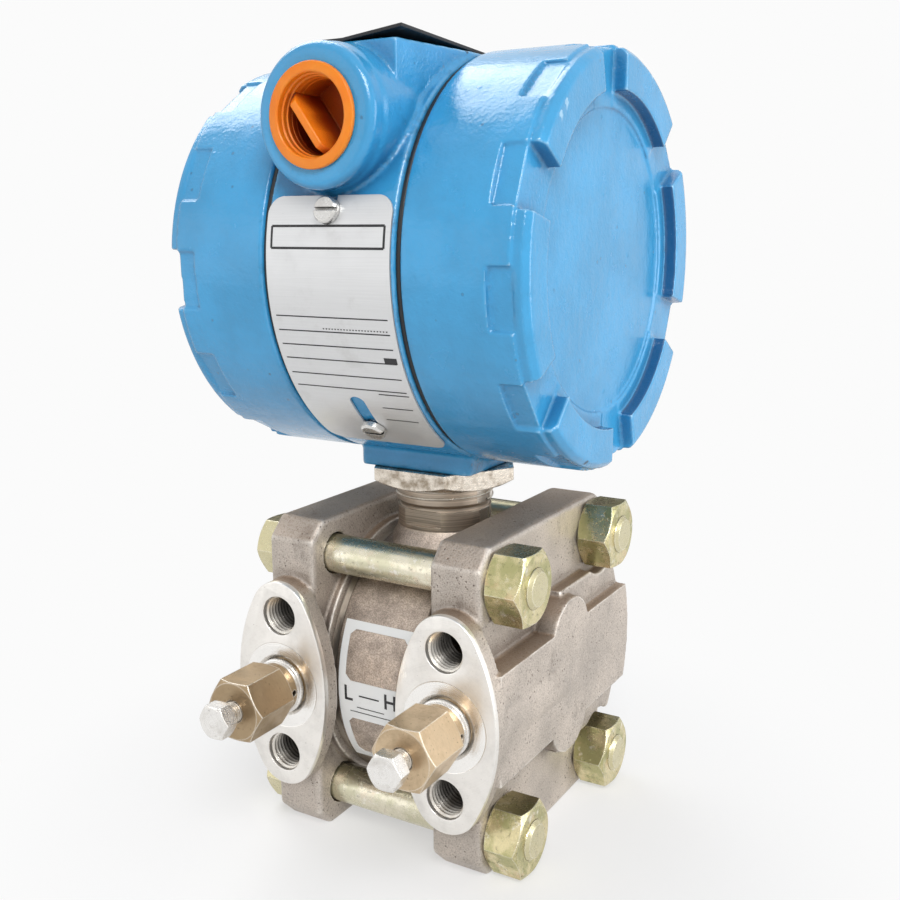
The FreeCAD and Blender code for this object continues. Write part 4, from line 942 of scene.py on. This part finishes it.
def keep_half(shape: BMesh, point: Point, normal: Point, close: bool = True) -> None:
    """Cut a mesh by a plane and keep what lies against the normal.

    Args:
        shape: the mesh to cut.
        point: a point of the plane, in millimetres.
        normal: direction of the part that goes.
        close: whether the cut is filled.
    """
    everything = [*shape.verts, *shape.edges, *shape.faces]
    found = bmesh.ops.bisect_plane(shape, geom=everything, plane_co=Vector(point) * MM, plane_no=normal,
                                   clear_outer=True)
    if close:
        rim = [item for item in found["geom_cut"] if isinstance(item, BMEdge)]
        bmesh.ops.triangle_fill(shape, use_beauty=True, edges=rim, normal=normal)


def outlined(points: Sequence[tuple[float, float]], centre: Point, axis: Axis,
             closed: bool) -> tuple[BMesh, list]:
    """Draw an outline beside an axis.

    Args:
        points: its (radius, distance along the axis) points, in millimetres.
        centre: where the axis starts, in millimetres.
        axis: the axis.
        closed: whether its ends are joined.

    Returns:
        A new mesh, and the vertices and edges of the outline in it.
    """
    shape = bmesh.new()
    side = Axis.Z.vector if axis is Axis.X else Axis.X.vector
    base = Vector(centre) * MM
    corners = [shape.verts.new(base + side * radius * MM + axis.vector * along * MM)
               for radius, along in points]
    nexts = corners[1:] + corners[:1] if closed else corners[1:]
    return shape, corners + [shape.edges.new(pair) for pair in zip(corners, nexts)]


def spun(points: Sequence[tuple[float, float]], centre: Point, axis: Axis, steps: int = 96,
         closed: bool = True) -> BMesh:
    """Spin an outline about an axis.

    Args:
        points: its (radius, distance along the axis) points, in millimetres.
        centre: a point on the axis, in millimetres.
        axis: the axis.
        steps: facets round the piece.
        closed: whether the outline's ends are joined.

    Returns:
        The turned mesh.
    """
    shape, outline = outlined(points, centre, axis, closed)
    bmesh.ops.spin(shape, geom=outline, cent=Vector(centre) * MM, axis=axis.vector, angle=math.tau,
                   steps=steps, use_merge=True)
    bmesh.ops.remove_doubles(shape, verts=shape.verts, dist=0.001 * MM)
    bmesh.ops.recalc_face_normals(shape, faces=shape.faces)
    return shape


def helix(crest: float, root: float, pitch: float, turns: float, centre: Point, axis: Axis,
          steps: int = 40, inward: bool = False) -> BMesh:
    """Thread ridges wound about an axis.

    Args:
        crest: radius of the thread's tips, in millimetres.
        root: radius between the tips.
        pitch: distance between turns.
        turns: number of turns.
        centre: where the thread starts on its axis.
        axis: the axis.
        steps: facets in a turn.
        inward: whether the thread faces the axis.

    Returns:
        The wound mesh.
    """
    ridge = [(root, 0.0), (root, 0.12), (crest, 0.44), (crest, 0.56), (root, 0.88), (root, 1.0)]
    points = [(radius, part * pitch) for radius, part in ridge]
    shape, outline = outlined(points, centre, axis, False)
    base = Vector(centre) * MM
    bmesh.ops.spin(shape, geom=outline, cent=base, axis=axis.vector, angle=math.tau * turns,
                   steps=round(steps * turns), dvec=axis.vector * pitch * MM / steps)
    bmesh.ops.remove_doubles(shape, verts=shape.verts, dist=0.01 * MM)
    bmesh.ops.recalc_face_normals(shape, faces=shape.faces)
    middle = shape.faces[:][len(shape.faces) // 2]
    away = middle.calc_center_median() - base
    away -= axis.vector * away.dot(axis.vector)
    if (middle.normal.dot(away) < 0) != inward:
        bmesh.ops.reverse_faces(shape, faces=shape.faces)
    return shape


def wrapped(shape: BMesh, radius: float, centre: Point) -> BMesh:
    """Bend a flat piece round the X axis through a centre.

    Args:
        shape: a piece whose Y is an angle in degrees above -Y and whose Z is height, both times MM.
        radius: radius that its Z of 0 takes, in millimetres.
        centre: a point on the axis, in millimetres.

    Returns:
        The bent piece, its faces outwards.
    """
    base = Vector(centre) * MM
    for corner in shape.verts:
        angle = math.radians(corner.co.y / MM)
        reach = radius * MM + corner.co.z
        corner.co = Vector((corner.co.x, base.y - math.cos(angle) * reach, base.z + math.sin(angle) * reach))
    bmesh.ops.recalc_face_normals(shape, faces=shape.faces)
    return shape


def strip(shape: BMesh, x: tuple[float, float], angle: tuple[float, float], thick: float) -> None:
    """Add one thin printed patch to a flat piece, to be wrapped later.

    Args:
        shape: the piece.
        x: its two ends along X, in millimetres.
        angle: its two ends round the axis, in degrees.
        thick: its thickness, in millimetres.
    """
    facet = 2.0  # degrees
    rows = max(1, round(abs(angle[1] - angle[0]) / facet))
    found = bmesh.ops.create_grid(shape, x_segments=1, y_segments=rows, size=0.5)
    place = Matrix.Translation((sum(x) / 2 * MM, sum(angle) / 2 * MM, 0.0))
    grow = Matrix.Diagonal((abs(x[1] - x[0]) * MM, abs(angle[1] - angle[0]) * MM, 1.0, 1.0))
    bmesh.ops.transform(shape, matrix=place @ grow, verts=found["verts"])
    faces = list({face for corner in found["verts"] for face in corner.link_faces})
    raised = bmesh.ops.extrude_face_region(shape, geom=faces)
    tops = [item for item in raised["geom"] if isinstance(item, BMVert)]
    bmesh.ops.translate(shape, verts=tops, vec=(0.0, 0.0, thick * MM))


def joined(*shapes: BMesh) -> BMesh:
    """Put several meshes into the first one.

    Args:
        shapes: the meshes; all but the first are freed.

    Returns:
        The first mesh.
    """
    for other in shapes[1:]:
        mesh = to_mesh(other, "joining")
        shapes[0].from_mesh(mesh)
        bpy.data.meshes.remove(mesh)
    return shapes[0]


@dataclass
class SubAssembly:
    """What the sub-assemblies share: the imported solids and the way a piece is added."""

    nodes: dict[str, Object]

    def add(self, name: str, shape: Union[BMesh, Mesh], finish: Finish, body: Body, slot: Slot,
            replaces: Sequence[str] = (), angle: float = 24.0) -> None:
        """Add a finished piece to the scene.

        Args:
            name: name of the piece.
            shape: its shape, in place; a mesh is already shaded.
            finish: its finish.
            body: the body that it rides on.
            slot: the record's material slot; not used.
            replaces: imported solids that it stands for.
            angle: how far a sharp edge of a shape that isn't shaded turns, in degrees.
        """
        mesh = shape if isinstance(shape, Mesh) else to_mesh(crisp(shape, angle), name)
        piece = placed(name, mesh)
        mesh.materials.clear()
        mesh.materials.append(finish.material())
        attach(piece, body.value)
        if replaces:
            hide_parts(*replaces)
        LOG.info("%s: %d faces on %s", name, len(mesh.polygons), body.value)

    def dress(self, node: str, finish: Finish, body: Body, slot: Slot, angle: float = 24.0) -> None:
        """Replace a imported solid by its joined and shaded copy."""
        self.add(f"{node}_dressed", merged(self.nodes[node]), finish, body, slot, [node], angle)

    def print_on(self, name: str, flat: BMesh, radius: float, centre: Point, body: Body, slot: Slot) -> None:
        """Wrap flat printing round a curved face and add it."""
        self.add(name, to_mesh(wrapped(flat, radius, centre), name), INK, body, slot)

    def coat(self, finish: Finish, *inner: str) -> None:
        """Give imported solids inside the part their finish.

        Args:
            finish: the finish.
            inner: names of the solids.
        """
        for node in inner:
            data = self.nodes[node].data
            data.materials.clear()
            data.materials.append(finish.material())
            LOG.info("%s: finish %s", node, finish.name)


# ---------------------------------------------------------------- sub-assemblies


@dataclass
class SensorCell(SubAssembly):
    """Cell with its neck and stem thread, label, diaphragms and gaskets."""

    radius: float = 39.0
    stem_start: float = 48.5
    stem_crest: float = 14.55
    stem_root: float = 13.7
    stem_pitch: float = 2.0
    stem_turns: float = 2.8
    label_face: float = 0.24
    letter: float = 6.21
    ink: float = 0.06
    mark_angle: float = -1.8
    mark_low: float = -8.8
    mark_high: float = 5.4
    dash: tuple[float, float] = (-5.0, 1.7)
    dash_angle: tuple[float, float] = (-2.05, -1.5)
    rule_middle: float = -1.4
    rules: tuple[tuple[float, float, float], ...] = ((-7.3, -7.0, 4.6), (-9.6, -9.3, 7.0))

    def build(self) -> None:
        """Make the pieces of the cell."""
        self.dress("sensor_module", CELL, Body.SENSOR, Slot.CELL)
        thread = helix(self.stem_crest, self.stem_root, self.stem_pitch, self.stem_turns,
                       (0.0, STEM_Y, self.stem_start), Axis.Z, 96)
        self.add("stem_thread", thread, THREAD_STEEL, Body.SENSOR, Slot.CELL, angle=35.0)
        self.label()
        self.coat(DIAPHRAGM_STEEL, "diaphragm_low", "diaphragm_high")
        self.coat(SEAL_WHITE, "flange_gasket_low", "flange_gasket_high")

    def letters(self, text: str, x: float) -> BMesh:
        """Flat letters, ready to be wrapped.

        Args:
            text: what they say.
            x: their middle, in millimetres.

        Returns:
            Their mesh.
        """
        curve = bpy.data.curves.new("letter", "FONT")
        curve.body = text
        curve.size = self.letter * MM
        curve.align_x = "CENTER"
        curve.align_y = "CENTER"
        curve.extrude = 0.05 * MM
        curve.offset = 0.08 * MM
        mesh = baked(placed("letter", curve))
        shape = bmesh.new()
        shape.from_mesh(mesh)
        bpy.data.meshes.remove(mesh)
        bmesh.ops.scale(shape, vec=(1.0, math.degrees(1.0 / self.radius), 1.0), verts=shape.verts)
        bmesh.ops.translate(shape, vec=(x * MM, self.mark_angle * MM, 0.0), verts=shape.verts)
        return shape

    def label(self) -> None:
        """Film label, its side marks and the thin rules under them."""
        self.dress("cell_label", LABEL, Body.SENSOR, Slot.LABEL)
        flat = bmesh.new()
        strip(flat, self.dash, self.dash_angle, self.ink)
        for low, high, half in self.rules:
            strip(flat, (self.rule_middle - half, self.rule_middle + half), (low, high), self.ink)
        flat = joined(flat, self.letters("L", self.mark_low), self.letters("H", self.mark_high))
        self.print_on("cell_label_print", flat, self.radius + self.label_face, STEM_LINE, Body.SENSOR,
                      Slot.LABEL)


@dataclass
class ProcessFlange(SubAssembly):
    """One process flange: a soft casting with a crisp milled pad and threaded holes."""

    side: str = "high"
    x: float = PORT_X
    pad_bolt: float = 20.65
    cast_start: float = 1.0
    pad_end: float = 1.7
    hole_crest: float = 4.93
    hole_root: float = 5.53
    hole_pitch: float = 1.27
    hole_turns: float = 9.0
    hole_start: float = 0.7
    port_crest: float = 6.55
    port_root: float = 7.17
    port_pitch: float = 1.41
    port_turns: float = 12.0
    port_start: float = 72.8
    back: float = 91.8
    voxel: float = 0.5
    lead: float = 0.45

    def build(self) -> None:
        """Make the casting, its pad and its threads."""
        node = f"flange_{self.side}"
        shape = merged(self.nodes[node])
        keep_half(shape, (0.0, self.cast_start, 0.0), (0.0, -1.0, 0.0))
        self.add(f"{node}_casting", cast(shape, f"{node}_casting", self.voxel), STEEL, Body.SENSOR,
                 Slot.FLANGE, [node])
        finish = MilledSteel(f"milled_pad_{self.side}", centre=(self.x, 0.0, 0.0))
        self.add(f"{node}_pad", self.pad(node), finish, Body.SENSOR, Slot.FLANGE, angle=30.0)
        finish = TurnedSteel(f"hole_steel_{self.side}", (0.80, 0.76, 0.70), (0.44, 0.38, 0.31),
                             (self.x, 0.0, 0.0), Axis.Y, 0.3, 0.5, bore_middle=self.back / 2)
        self.add(f"{node}_threads", self.threads(), finish, Body.SENSOR, Slot.FLANGE, angle=35.0)

    def pad(self, node: str) -> BMesh:
        """The milled pad with broken edges round its outline and its holes.

        Args:
            node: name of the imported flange.

        Returns:
            The pad.
        """
        shape = merged(self.nodes[node])
        keep_half(shape, (0.0, self.pad_end, 0.0), (0.0, 1.0, 0.0), False)
        bmesh.ops.dissolve_limit(shape, angle_limit=math.radians(0.4), verts=shape.verts, edges=shape.edges)
        rim = [edge for edge in shape.edges
               if all(abs(corner.co.y) < 0.01 * MM for corner in edge.verts)
               and len(edge.link_faces) == 2 and edge.calc_face_angle(0.0) > math.radians(60)]
        bmesh.ops.bevel(shape, geom=rim, offset=self.lead * MM, offset_type="OFFSET", segments=2, profile=0.5,
                        affect="EDGES", clamp_overlap=True, material=-1)
        return shape

    def threads(self) -> BMesh:
        """Threads of the pad's two holes and of the rear port.

        Returns:
            The threads, in one mesh.
        """
        shapes = [helix(self.hole_crest, self.hole_root, self.hole_pitch, self.hole_turns,
                        (self.x, self.hole_start, up * self.pad_bolt), Axis.Y, inward=True)
                  for up in (-1.0, 1.0)]
        shapes.append(helix(self.port_crest, self.port_root, self.port_pitch, self.port_turns,
                            (self.x, self.port_start, 0.0), Axis.Y, 48, True))
        return joined(*shapes)


@dataclass
class Fasteners(SubAssembly):
    """Flange bolts and nuts."""

    nut_angle: float = 18.0

    def build(self) -> None:
        """Make bolts and nuts."""
        self.dress("flange_bolts", BOLT_ZINC, Body.SENSOR, Slot.ZINC)
        self.dress("flange_nuts", ZINC, Body.SENSOR, Slot.ZINC, self.nut_angle)


@dataclass
class VentValve(SubAssembly):
    """One drain and vent valve: hexagon body, seat ring, vent screw and its thread."""

    side: str = "high"
    x: float = PORT_X
    body: Body = Body.STEM_HIGH
    colour: Colour = (0.62, 0.475, 0.31)
    neck_end: float = -9.0
    slim: float = 0.86
    thread_start: float = -24.0
    thread_root: float = 2.6
    thread_crest: float = 2.98
    pitch: float = 0.85
    turns: float = 5.0
    seat: float = 7.95
    ring: float = 6.8
    rim: float = 7.2

    def build(self) -> None:
        """Make the valve."""
        centre = (self.x, 0.0, 0.0)
        metal = TurnedSteel(f"valve_metal_{self.side}", self.colour, (0.34, 0.24, 0.14), centre, Axis.Y,
                            0.34, 0.45, 0.5, 0.4, 0.6, 0.9, 0.8)
        steel = TurnedSteel(f"stem_steel_{self.side}", (0.83, 0.81, 0.78), (0.46, 0.42, 0.37), centre, Axis.Y,
                            0.26, 0.5, 0.3, 0.4, 0.6, 0.3)
        dark = TurnedSteel(f"vent_thread_{self.side}", (0.60, 0.55, 0.48), (0.30, 0.25, 0.19), centre, Axis.Y,
                           0.3, reach=1.1)
        self.dress(f"valve_body_{self.side}", metal, Body.SENSOR, Slot.VALVE, 18.0)
        node = f"valve_stem_{self.side}"
        self.add(f"{node}_turned", self.stem(node), steel, self.body, Slot.VALVE, [node], 18.0)
        thread = helix(self.thread_crest, self.thread_root, self.pitch, self.turns,
                       (self.x, self.thread_start, 0.0), Axis.Y, 36)
        self.add(f"valve_thread_{self.side}", thread, dark, self.body, Slot.VALVE, angle=35.0)
        seat, ring, rim = self.seat, self.ring, self.rim
        outline = [(ring, 1.0), (ring, -1.75), (rim, -1.75), (rim + 0.15, -1.6), (rim + 0.15, -1.2),
                   (seat - 0.2, -1.1), (seat, -0.9), (seat, 0.1), (seat - 0.3, 0.5), (rim, 1.0)]
        self.add(f"valve_seat_{self.side}", spun(outline, centre, Axis.Y, 72), steel, Body.SENSOR, Slot.VALVE,
                 angle=40.0)

    def stem(self, node: str) -> BMesh:
        """Vent screw, its head and shank as slim as the bore round it shows.

        Args:
            node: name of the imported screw.

        Returns:
            The screw.
        """
        shape = merged(self.nodes[node])
        outside = [corner for corner in shape.verts if corner.co.y < self.neck_end * MM]
        space = Matrix.Translation((-self.x * MM, 0.0, 0.0))
        bmesh.ops.scale(shape, vec=(self.slim, 1.0, self.slim), space=space, verts=outside)
        return shape


@dataclass
class Housing(SubAssembly):
    """Painted housing with its covers, seals, screws, tag and inner parts."""

    seam: float = 20.0
    seal_half: float = 0.7
    seal_outer: float = 54.2
    seal_inner: float = 51.5
    seal_edge: float = 0.35
    voxel: float = 0.62
    cover_voxel: float = 0.48
    tag_cut: Point = (-7.0, -0.7, 0.0)
    tag_cut_way: Point = (-0.78, -0.63, 0.0)

    def build(self) -> None:
        """Make the housing and what it carries."""
        self.casting("housing_body", "housing_casting", self.voxel, Body.HOUSING)
        for side, sign, body in (("right", 1.0, Body.COVER_RIGHT), ("left", -1.0, Body.COVER_LEFT)):
            self.casting(f"cover_{side}", f"cover_{side}_casting", self.cover_voxel, body)
            self.seal(f"cover_oring_{side}", sign)
        self.dress("lock_nut", NUT_STEEL, Body.LOCK_NUT, Slot.NUT, 18.0)
        tag = merged(self.nodes["top_tag"])
        keep_half(tag, self.tag_cut, self.tag_cut_way)
        self.add("top_tag_sheet", tag, TAG_SHEET, Body.HOUSING, Slot.TAG, ["top_tag"])
        for node, body in (("nameplate_screw_upper", Body.HOUSING), ("nameplate_screw_lower", Body.HOUSING),
                           ("zero_screw", Body.ZERO_SCREW), ("span_screw", Body.SPAN_SCREW)):
            self.dress(node, SCREW_STEEL, body, Slot.SCREW)
        self.coat(BLOCK_PLASTIC, "terminal_block")
        self.coat(BOARD, "amplifier_board", "output_board")
        self.coat(SCREW_STEEL, "terminal_screws", "board_posts", "board_screws")

    def casting(self, node: str, name: str, voxel: float, body: Body) -> None:
        """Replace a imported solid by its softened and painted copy."""
        self.add(name, cast(merged(self.nodes[node]), name, voxel), PAINT, body, Slot.PAINT, [node])

    def seal(self, node: str, sign: float) -> None:
        """Round-edged rubber ring between the housing and a cover.

        Args:
            node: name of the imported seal.
            sign: 1 on the right and -1 on the left.
        """
        edge, ease = self.seal_edge, self.seal_edge * 0.3
        half, outer, inner = self.seal_half, self.seal_outer, self.seal_inner
        rising = [(inner, -half), (outer - edge, -half), (outer - ease, ease - half), (outer, edge - half)]
        outline = rising + [(radius, -along) for radius, along in reversed(rising)]
        shape = spun(outline, (sign * self.seam, STEM_Y, HOUSING_Z), Axis.X, 192)
        self.add(f"{node}_rubber", shape, SEAL_RUBBER, Body.HOUSING, Slot.RUBBER, [node], 50.0)


@dataclass
class ConduitPlug(SubAssembly):
    """Hollow thread protector with a grip fin beside its middle."""

    end: str = "front"
    body: Body = Body.PLUG_FRONT
    out: float = -1.0
    height: float = 153.5
    mouth: float = 59.0
    depth: float = 13.0
    rim: float = 12.3
    lip: float = 9.7
    barrel: float = 10.44
    hollow: float = 9.0
    flange: float = 1.4
    floor: float = 1.4
    fin_thick: float = 2.0
    fin_aside: float = 3.0
    fin_turn: float = -53.8
    fin_corner: float = 2.6
    fin_ease: float = 0.3
    fin_bite: float = 0.3

    def build(self) -> None:
        """Make the plug and put it in its conduit."""
        depth, rim, lip, barrel, hollow, flange = (
            self.depth, self.rim, self.lip, self.barrel, self.hollow, self.flange)
        floor = self.floor - depth
        shell = spun([
            (0.0, -depth), (barrel - 0.5, -depth), (barrel, 0.5 - depth), (barrel, 0.1), (rim - 0.25, 0.1),
            (rim, 0.35), (rim, flange - 0.5), (rim - 0.15, flange - 0.15), (rim - 0.5, flange),
            (lip + 0.3, flange), (lip, flange - 0.25), (lip, -0.4), (hollow + 0.35, -0.6),
            (hollow + 0.35, -1.8), (hollow, -2.0), (hollow, -3.4), (hollow - 0.15, -3.5),
            (hollow - 0.15, -4.9), (hollow - 0.3, -5.0), (hollow - 0.3, floor), (0.0, floor),
        ], (0.0, 0.0, 0.0), Axis.Z, closed=False)
        shape = joined(shell, self.fin(floor - 0.5))
        turn = Matrix(((-self.out, 0.0, 0.0), (0.0, 0.0, self.out), (0.0, 1.0, 0.0))).to_4x4()
        place = Matrix.Translation(Vector((0.0, STEM_Y + self.out * self.mouth, self.height)) * MM)
        bmesh.ops.transform(shape, matrix=place @ turn, verts=shape.verts)
        node = f"conduit_plug_{self.end}"
        self.add(f"{node}_moulding", shape, PLUG_PLASTIC, self.body, Slot.PLUG, [node], 32.0)

    def fin(self, floor: float) -> BMesh:
        """The fin, its outer corners cut off and all its edges eased.

        Args:
            floor: where it starts inside the plug, in millimetres.

        Returns:
            The fin in the plug's own frame.
        """
        shape = bmesh.new()
        bmesh.ops.create_cube(shape, size=1.0)
        half = math.sqrt(self.hollow ** 2 - self.fin_aside ** 2) + self.fin_bite
        bmesh.ops.scale(shape, vec=(2 * half * MM, self.fin_thick * MM, -floor * MM), verts=shape.verts)
        bmesh.ops.translate(shape, vec=(0.0, -self.fin_aside * MM, floor / 2 * MM), verts=shape.verts)
        ends = [edge for edge in shape.edges
                if all(corner.co.z > -0.1 * MM for corner in edge.verts)
                and abs(edge.verts[0].co.x - edge.verts[1].co.x) < 0.1 * MM]
        bmesh.ops.bevel(shape, geom=ends, offset=self.fin_corner * MM, offset_type="OFFSET", segments=1,
                        profile=0.5, affect="EDGES", material=-1)
        bmesh.ops.bevel(shape, geom=shape.edges[:], offset=self.fin_ease * MM, offset_type="OFFSET",
                        segments=3, profile=0.5, affect="EDGES", clamp_overlap=True, material=-1)
        turn = Matrix.Rotation(math.radians(self.fin_turn), 3, "Z")
        bmesh.ops.rotate(shape, matrix=turn, verts=shape.verts)
        return shape


@dataclass
class Nameplate(SubAssembly):
    """Curved plate with thin printed rules and empty fields."""

    face: float = 55.77
    line: float = 0.3
    ink: float = 0.03
    box: Point = (16.9, 10.5, 4.95)
    rule_half: float = 17.0
    rules: tuple[float, ...] = (-12.5, -16.4, -20.4, -24.5, -29.2, -33.5)
    short_rules: tuple[Point, ...] = ((-34.7, 8.2, 17.3), (-39.8, 7.3, 16.5), (-44.9, 6.2, 16.0))
    dots: int = 22
    dot_start: float = -2.9
    dot_step: float = 0.9
    dot: float = 0.4
    dot_angle: tuple[float, float] = (-15.7, -15.4)
    block: tuple[float, float] = (13.6, 17.3)
    block_angle: tuple[float, float] = (-24.5, -22.8)

    def build(self) -> None:
        """Make the plate and its printing."""
        self.dress("nameplate", PLATE, Body.NAMEPLATE, Slot.PLATE)
        half, top, low = self.box
        line = self.line
        turn = math.degrees(line / self.face)
        patches = [((-half, half), (angle - turn, angle + turn)) for angle in (top, low)]
        patches += [((x - line, x + line), (low, top)) for x in (-half, half)]
        rules = [(angle, -self.rule_half, self.rule_half) for angle in self.rules]
        patches += [((start, end), (angle - turn / 2, angle + turn / 2))
                    for angle, start, end in (*rules, *self.short_rules)]
        starts = [self.dot_start + k * self.dot_step for k in range(self.dots)]
        patches += [((start, start + self.dot), self.dot_angle) for start in starts]
        patches.append((self.block, self.block_angle))
        flat = bmesh.new()
        for x, angle in patches:
            strip(flat, x, angle, self.ink)
        self.print_on("nameplate_print", flat, self.face, HOUSING_LINE, Body.NAMEPLATE, Slot.PLATE)


# ------------------------------------------------------------------------- stage


@dataclass(frozen=True)
class FloorPaper(Finish):
    """Pale paper that fades into the white backdrop away from the part."""

    colour: Colour = (0.93, 0.93, 0.93)
    near: float = 50.0
    far: float = 150.0
    least: float = 0.52

    def nodes(self, shader: Shader) -> None:
        """Paper near the part and plain white light far from it.

        Args:
            shader: the empty material.
        """
        tone = shader.blend(shader.noise(3.0).span(0.3, 0.7) * 0.15, self.colour, scaled(self.colour, 0.98))
        paper = shader.node("ShaderNodeBsdfDiffuse", {}, {"Color": tone})
        white = shader.node("ShaderNodeEmission", {}, {"Color": (BACKDROP,) * 3, "Strength": 1.0})
        fade = shader.from_line(STEM_LINE, Axis.Z).span(self.near, self.far, self.least, 1.0) * shader.seen()
        shader.output(shader.node("ShaderNodeMixShader", {}, {0: fade, 1: paper, 2: white}))


@dataclass
class Studio:
    """Floor, backdrop, lights and camera.

    A light is its name, its middle and its side in millimetres, and its power in watts.
    """

    floor_z: float = -46.98
    floor_radius: float = 4000.0
    soft: float = 0.16
    camera: Point = (163.7, -226.8, 129.2)
    yaw: float = 0.5349
    pitch: float = 0.206
    roll: float = -0.005384
    lens: float = 43.88
    lights: tuple[tuple[str, Point, float, float], ...] = (
        ("key", (520.0, -620.0, 760.0), 480.0, 7.8),
        ("fill", (-700.0, -700.0, 120.0), 700.0, 0.8),
        ("top", (-500.0, 270.0, 840.0), 600.0, 4.4),
        ("rim", (800.0, 250.0, 200.0), 500.0, 2.6),
    )
    card: Point = (-420.0, 840.0, 150.0)
    card_size: tuple[float, float] = (1000.0, 420.0)
    aim: Point = (0.0, 46.0, 70.0)

    def build(self) -> None:
        """Set the stage."""
        self.floor()
        self.world()
        for name, place, size, energy in self.lights:
            lamp = bpy.data.lights.new(name, "AREA")
            lamp.size = size * MM
            lamp.energy = energy
            placed(name, lamp).matrix_world = self.facing(place)
        self.flag()
        self.view()

    def floor(self) -> None:
        """Round floor under the part."""
        shape = bmesh.new()
        bmesh.ops.create_circle(shape, cap_ends=True, segments=96, radius=self.floor_radius * MM)
        bmesh.ops.translate(shape, vec=(0.0, STEM_Y * MM, self.floor_z * MM), verts=shape.verts)
        floor = placed("floor", to_mesh(shape, "floor"))
        floor.data.materials.append(FloorPaper("floor_paper").material())

    def world(self) -> None:
        """Soft grey light, white where it is seen."""
        world = bpy.data.worlds.new("studio")
        bpy.context.scene.world = world
        shader = Shader(world)
        soft, white = (shader.node("ShaderNodeBackground", {}, {"Color": (level,) * 3, "Strength": strength})
                       for level, strength in ((1.0, self.soft), (BACKDROP, 1.0)))
        shader.output(shader.node("ShaderNodeMixShader", {}, {0: shader.seen(), 1: soft, 2: white}), "World")

    def facing(self, place: Point) -> Matrix:
        """Place of a lamp or card that looks at the part."""
        turn = (Vector(self.aim) - Vector(place)).to_track_quat("-Z", "Y")
        return Matrix.Translation(Vector(place) * MM) @ turn.to_matrix().to_4x4()

    def flag(self) -> None:
        """Black card behind the part that only polished faces mirror."""
        shape = bmesh.new()
        bmesh.ops.create_grid(shape, x_segments=1, y_segments=1, size=0.5)
        width, height = self.card_size
        bmesh.ops.scale(shape, vec=(width * MM, height * MM, 1.0), verts=shape.verts)
        bmesh.ops.transform(shape, matrix=self.facing(self.card), verts=shape.verts)
        card = placed("black_card", to_mesh(shape, "black_card"))
        card.data.materials.append(CARD_CLOTH.material())
        for ray in ("camera", "diffuse", "transmission", "volume_scatter", "shadow"):
            setattr(card, f"visible_{ray}", False)

    def view(self) -> None:
        """Place the camera."""
        data = bpy.data.cameras.new("camera")
        data.lens = self.lens
        data.sensor_width = 36.0
        data.clip_start = 0.01
        data.clip_end = 20.0
        camera = placed("camera", data)
        turn = (Matrix.Rotation(self.yaw, 4, "Z") @ Matrix.Rotation(math.pi / 2 - self.pitch, 4, "X")
                @ Matrix.Rotation(self.roll, 4, "Z"))
        camera.matrix_world = Matrix.Translation(Vector(self.camera) * MM) @ turn
        bpy.context.scene.camera = camera
        bpy.context.scene.view_settings.view_transform = "Standard"


def main() -> None:
    """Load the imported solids, dress them and set the stage."""
    logging.basicConfig(level=logging.INFO, format="%(name)s %(message)s")
    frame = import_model()
    nodes = frame["nodes"]
    parts: list[SubAssembly] = [
        SensorCell(nodes),
        ProcessFlange(nodes, "high", PORT_X),
        ProcessFlange(nodes, "low", -PORT_X),
        Fasteners(nodes),
        VentValve(nodes, "high", PORT_X, Body.STEM_HIGH),
        # The low valve's colour is a darker copy of the high one's: painted shade.
        VentValve(nodes, "low", -PORT_X, Body.STEM_LOW, (0.39, 0.285, 0.17)),
        Housing(nodes),
        ConduitPlug(nodes, "front", Body.PLUG_FRONT, -1.0),
        ConduitPlug(nodes, "rear", Body.PLUG_REAR, 1.0),
        Nameplate(nodes),
    ]
    for part in parts:
        part.build()
    Studio().build()


if __name__ == "__main__":
    main()
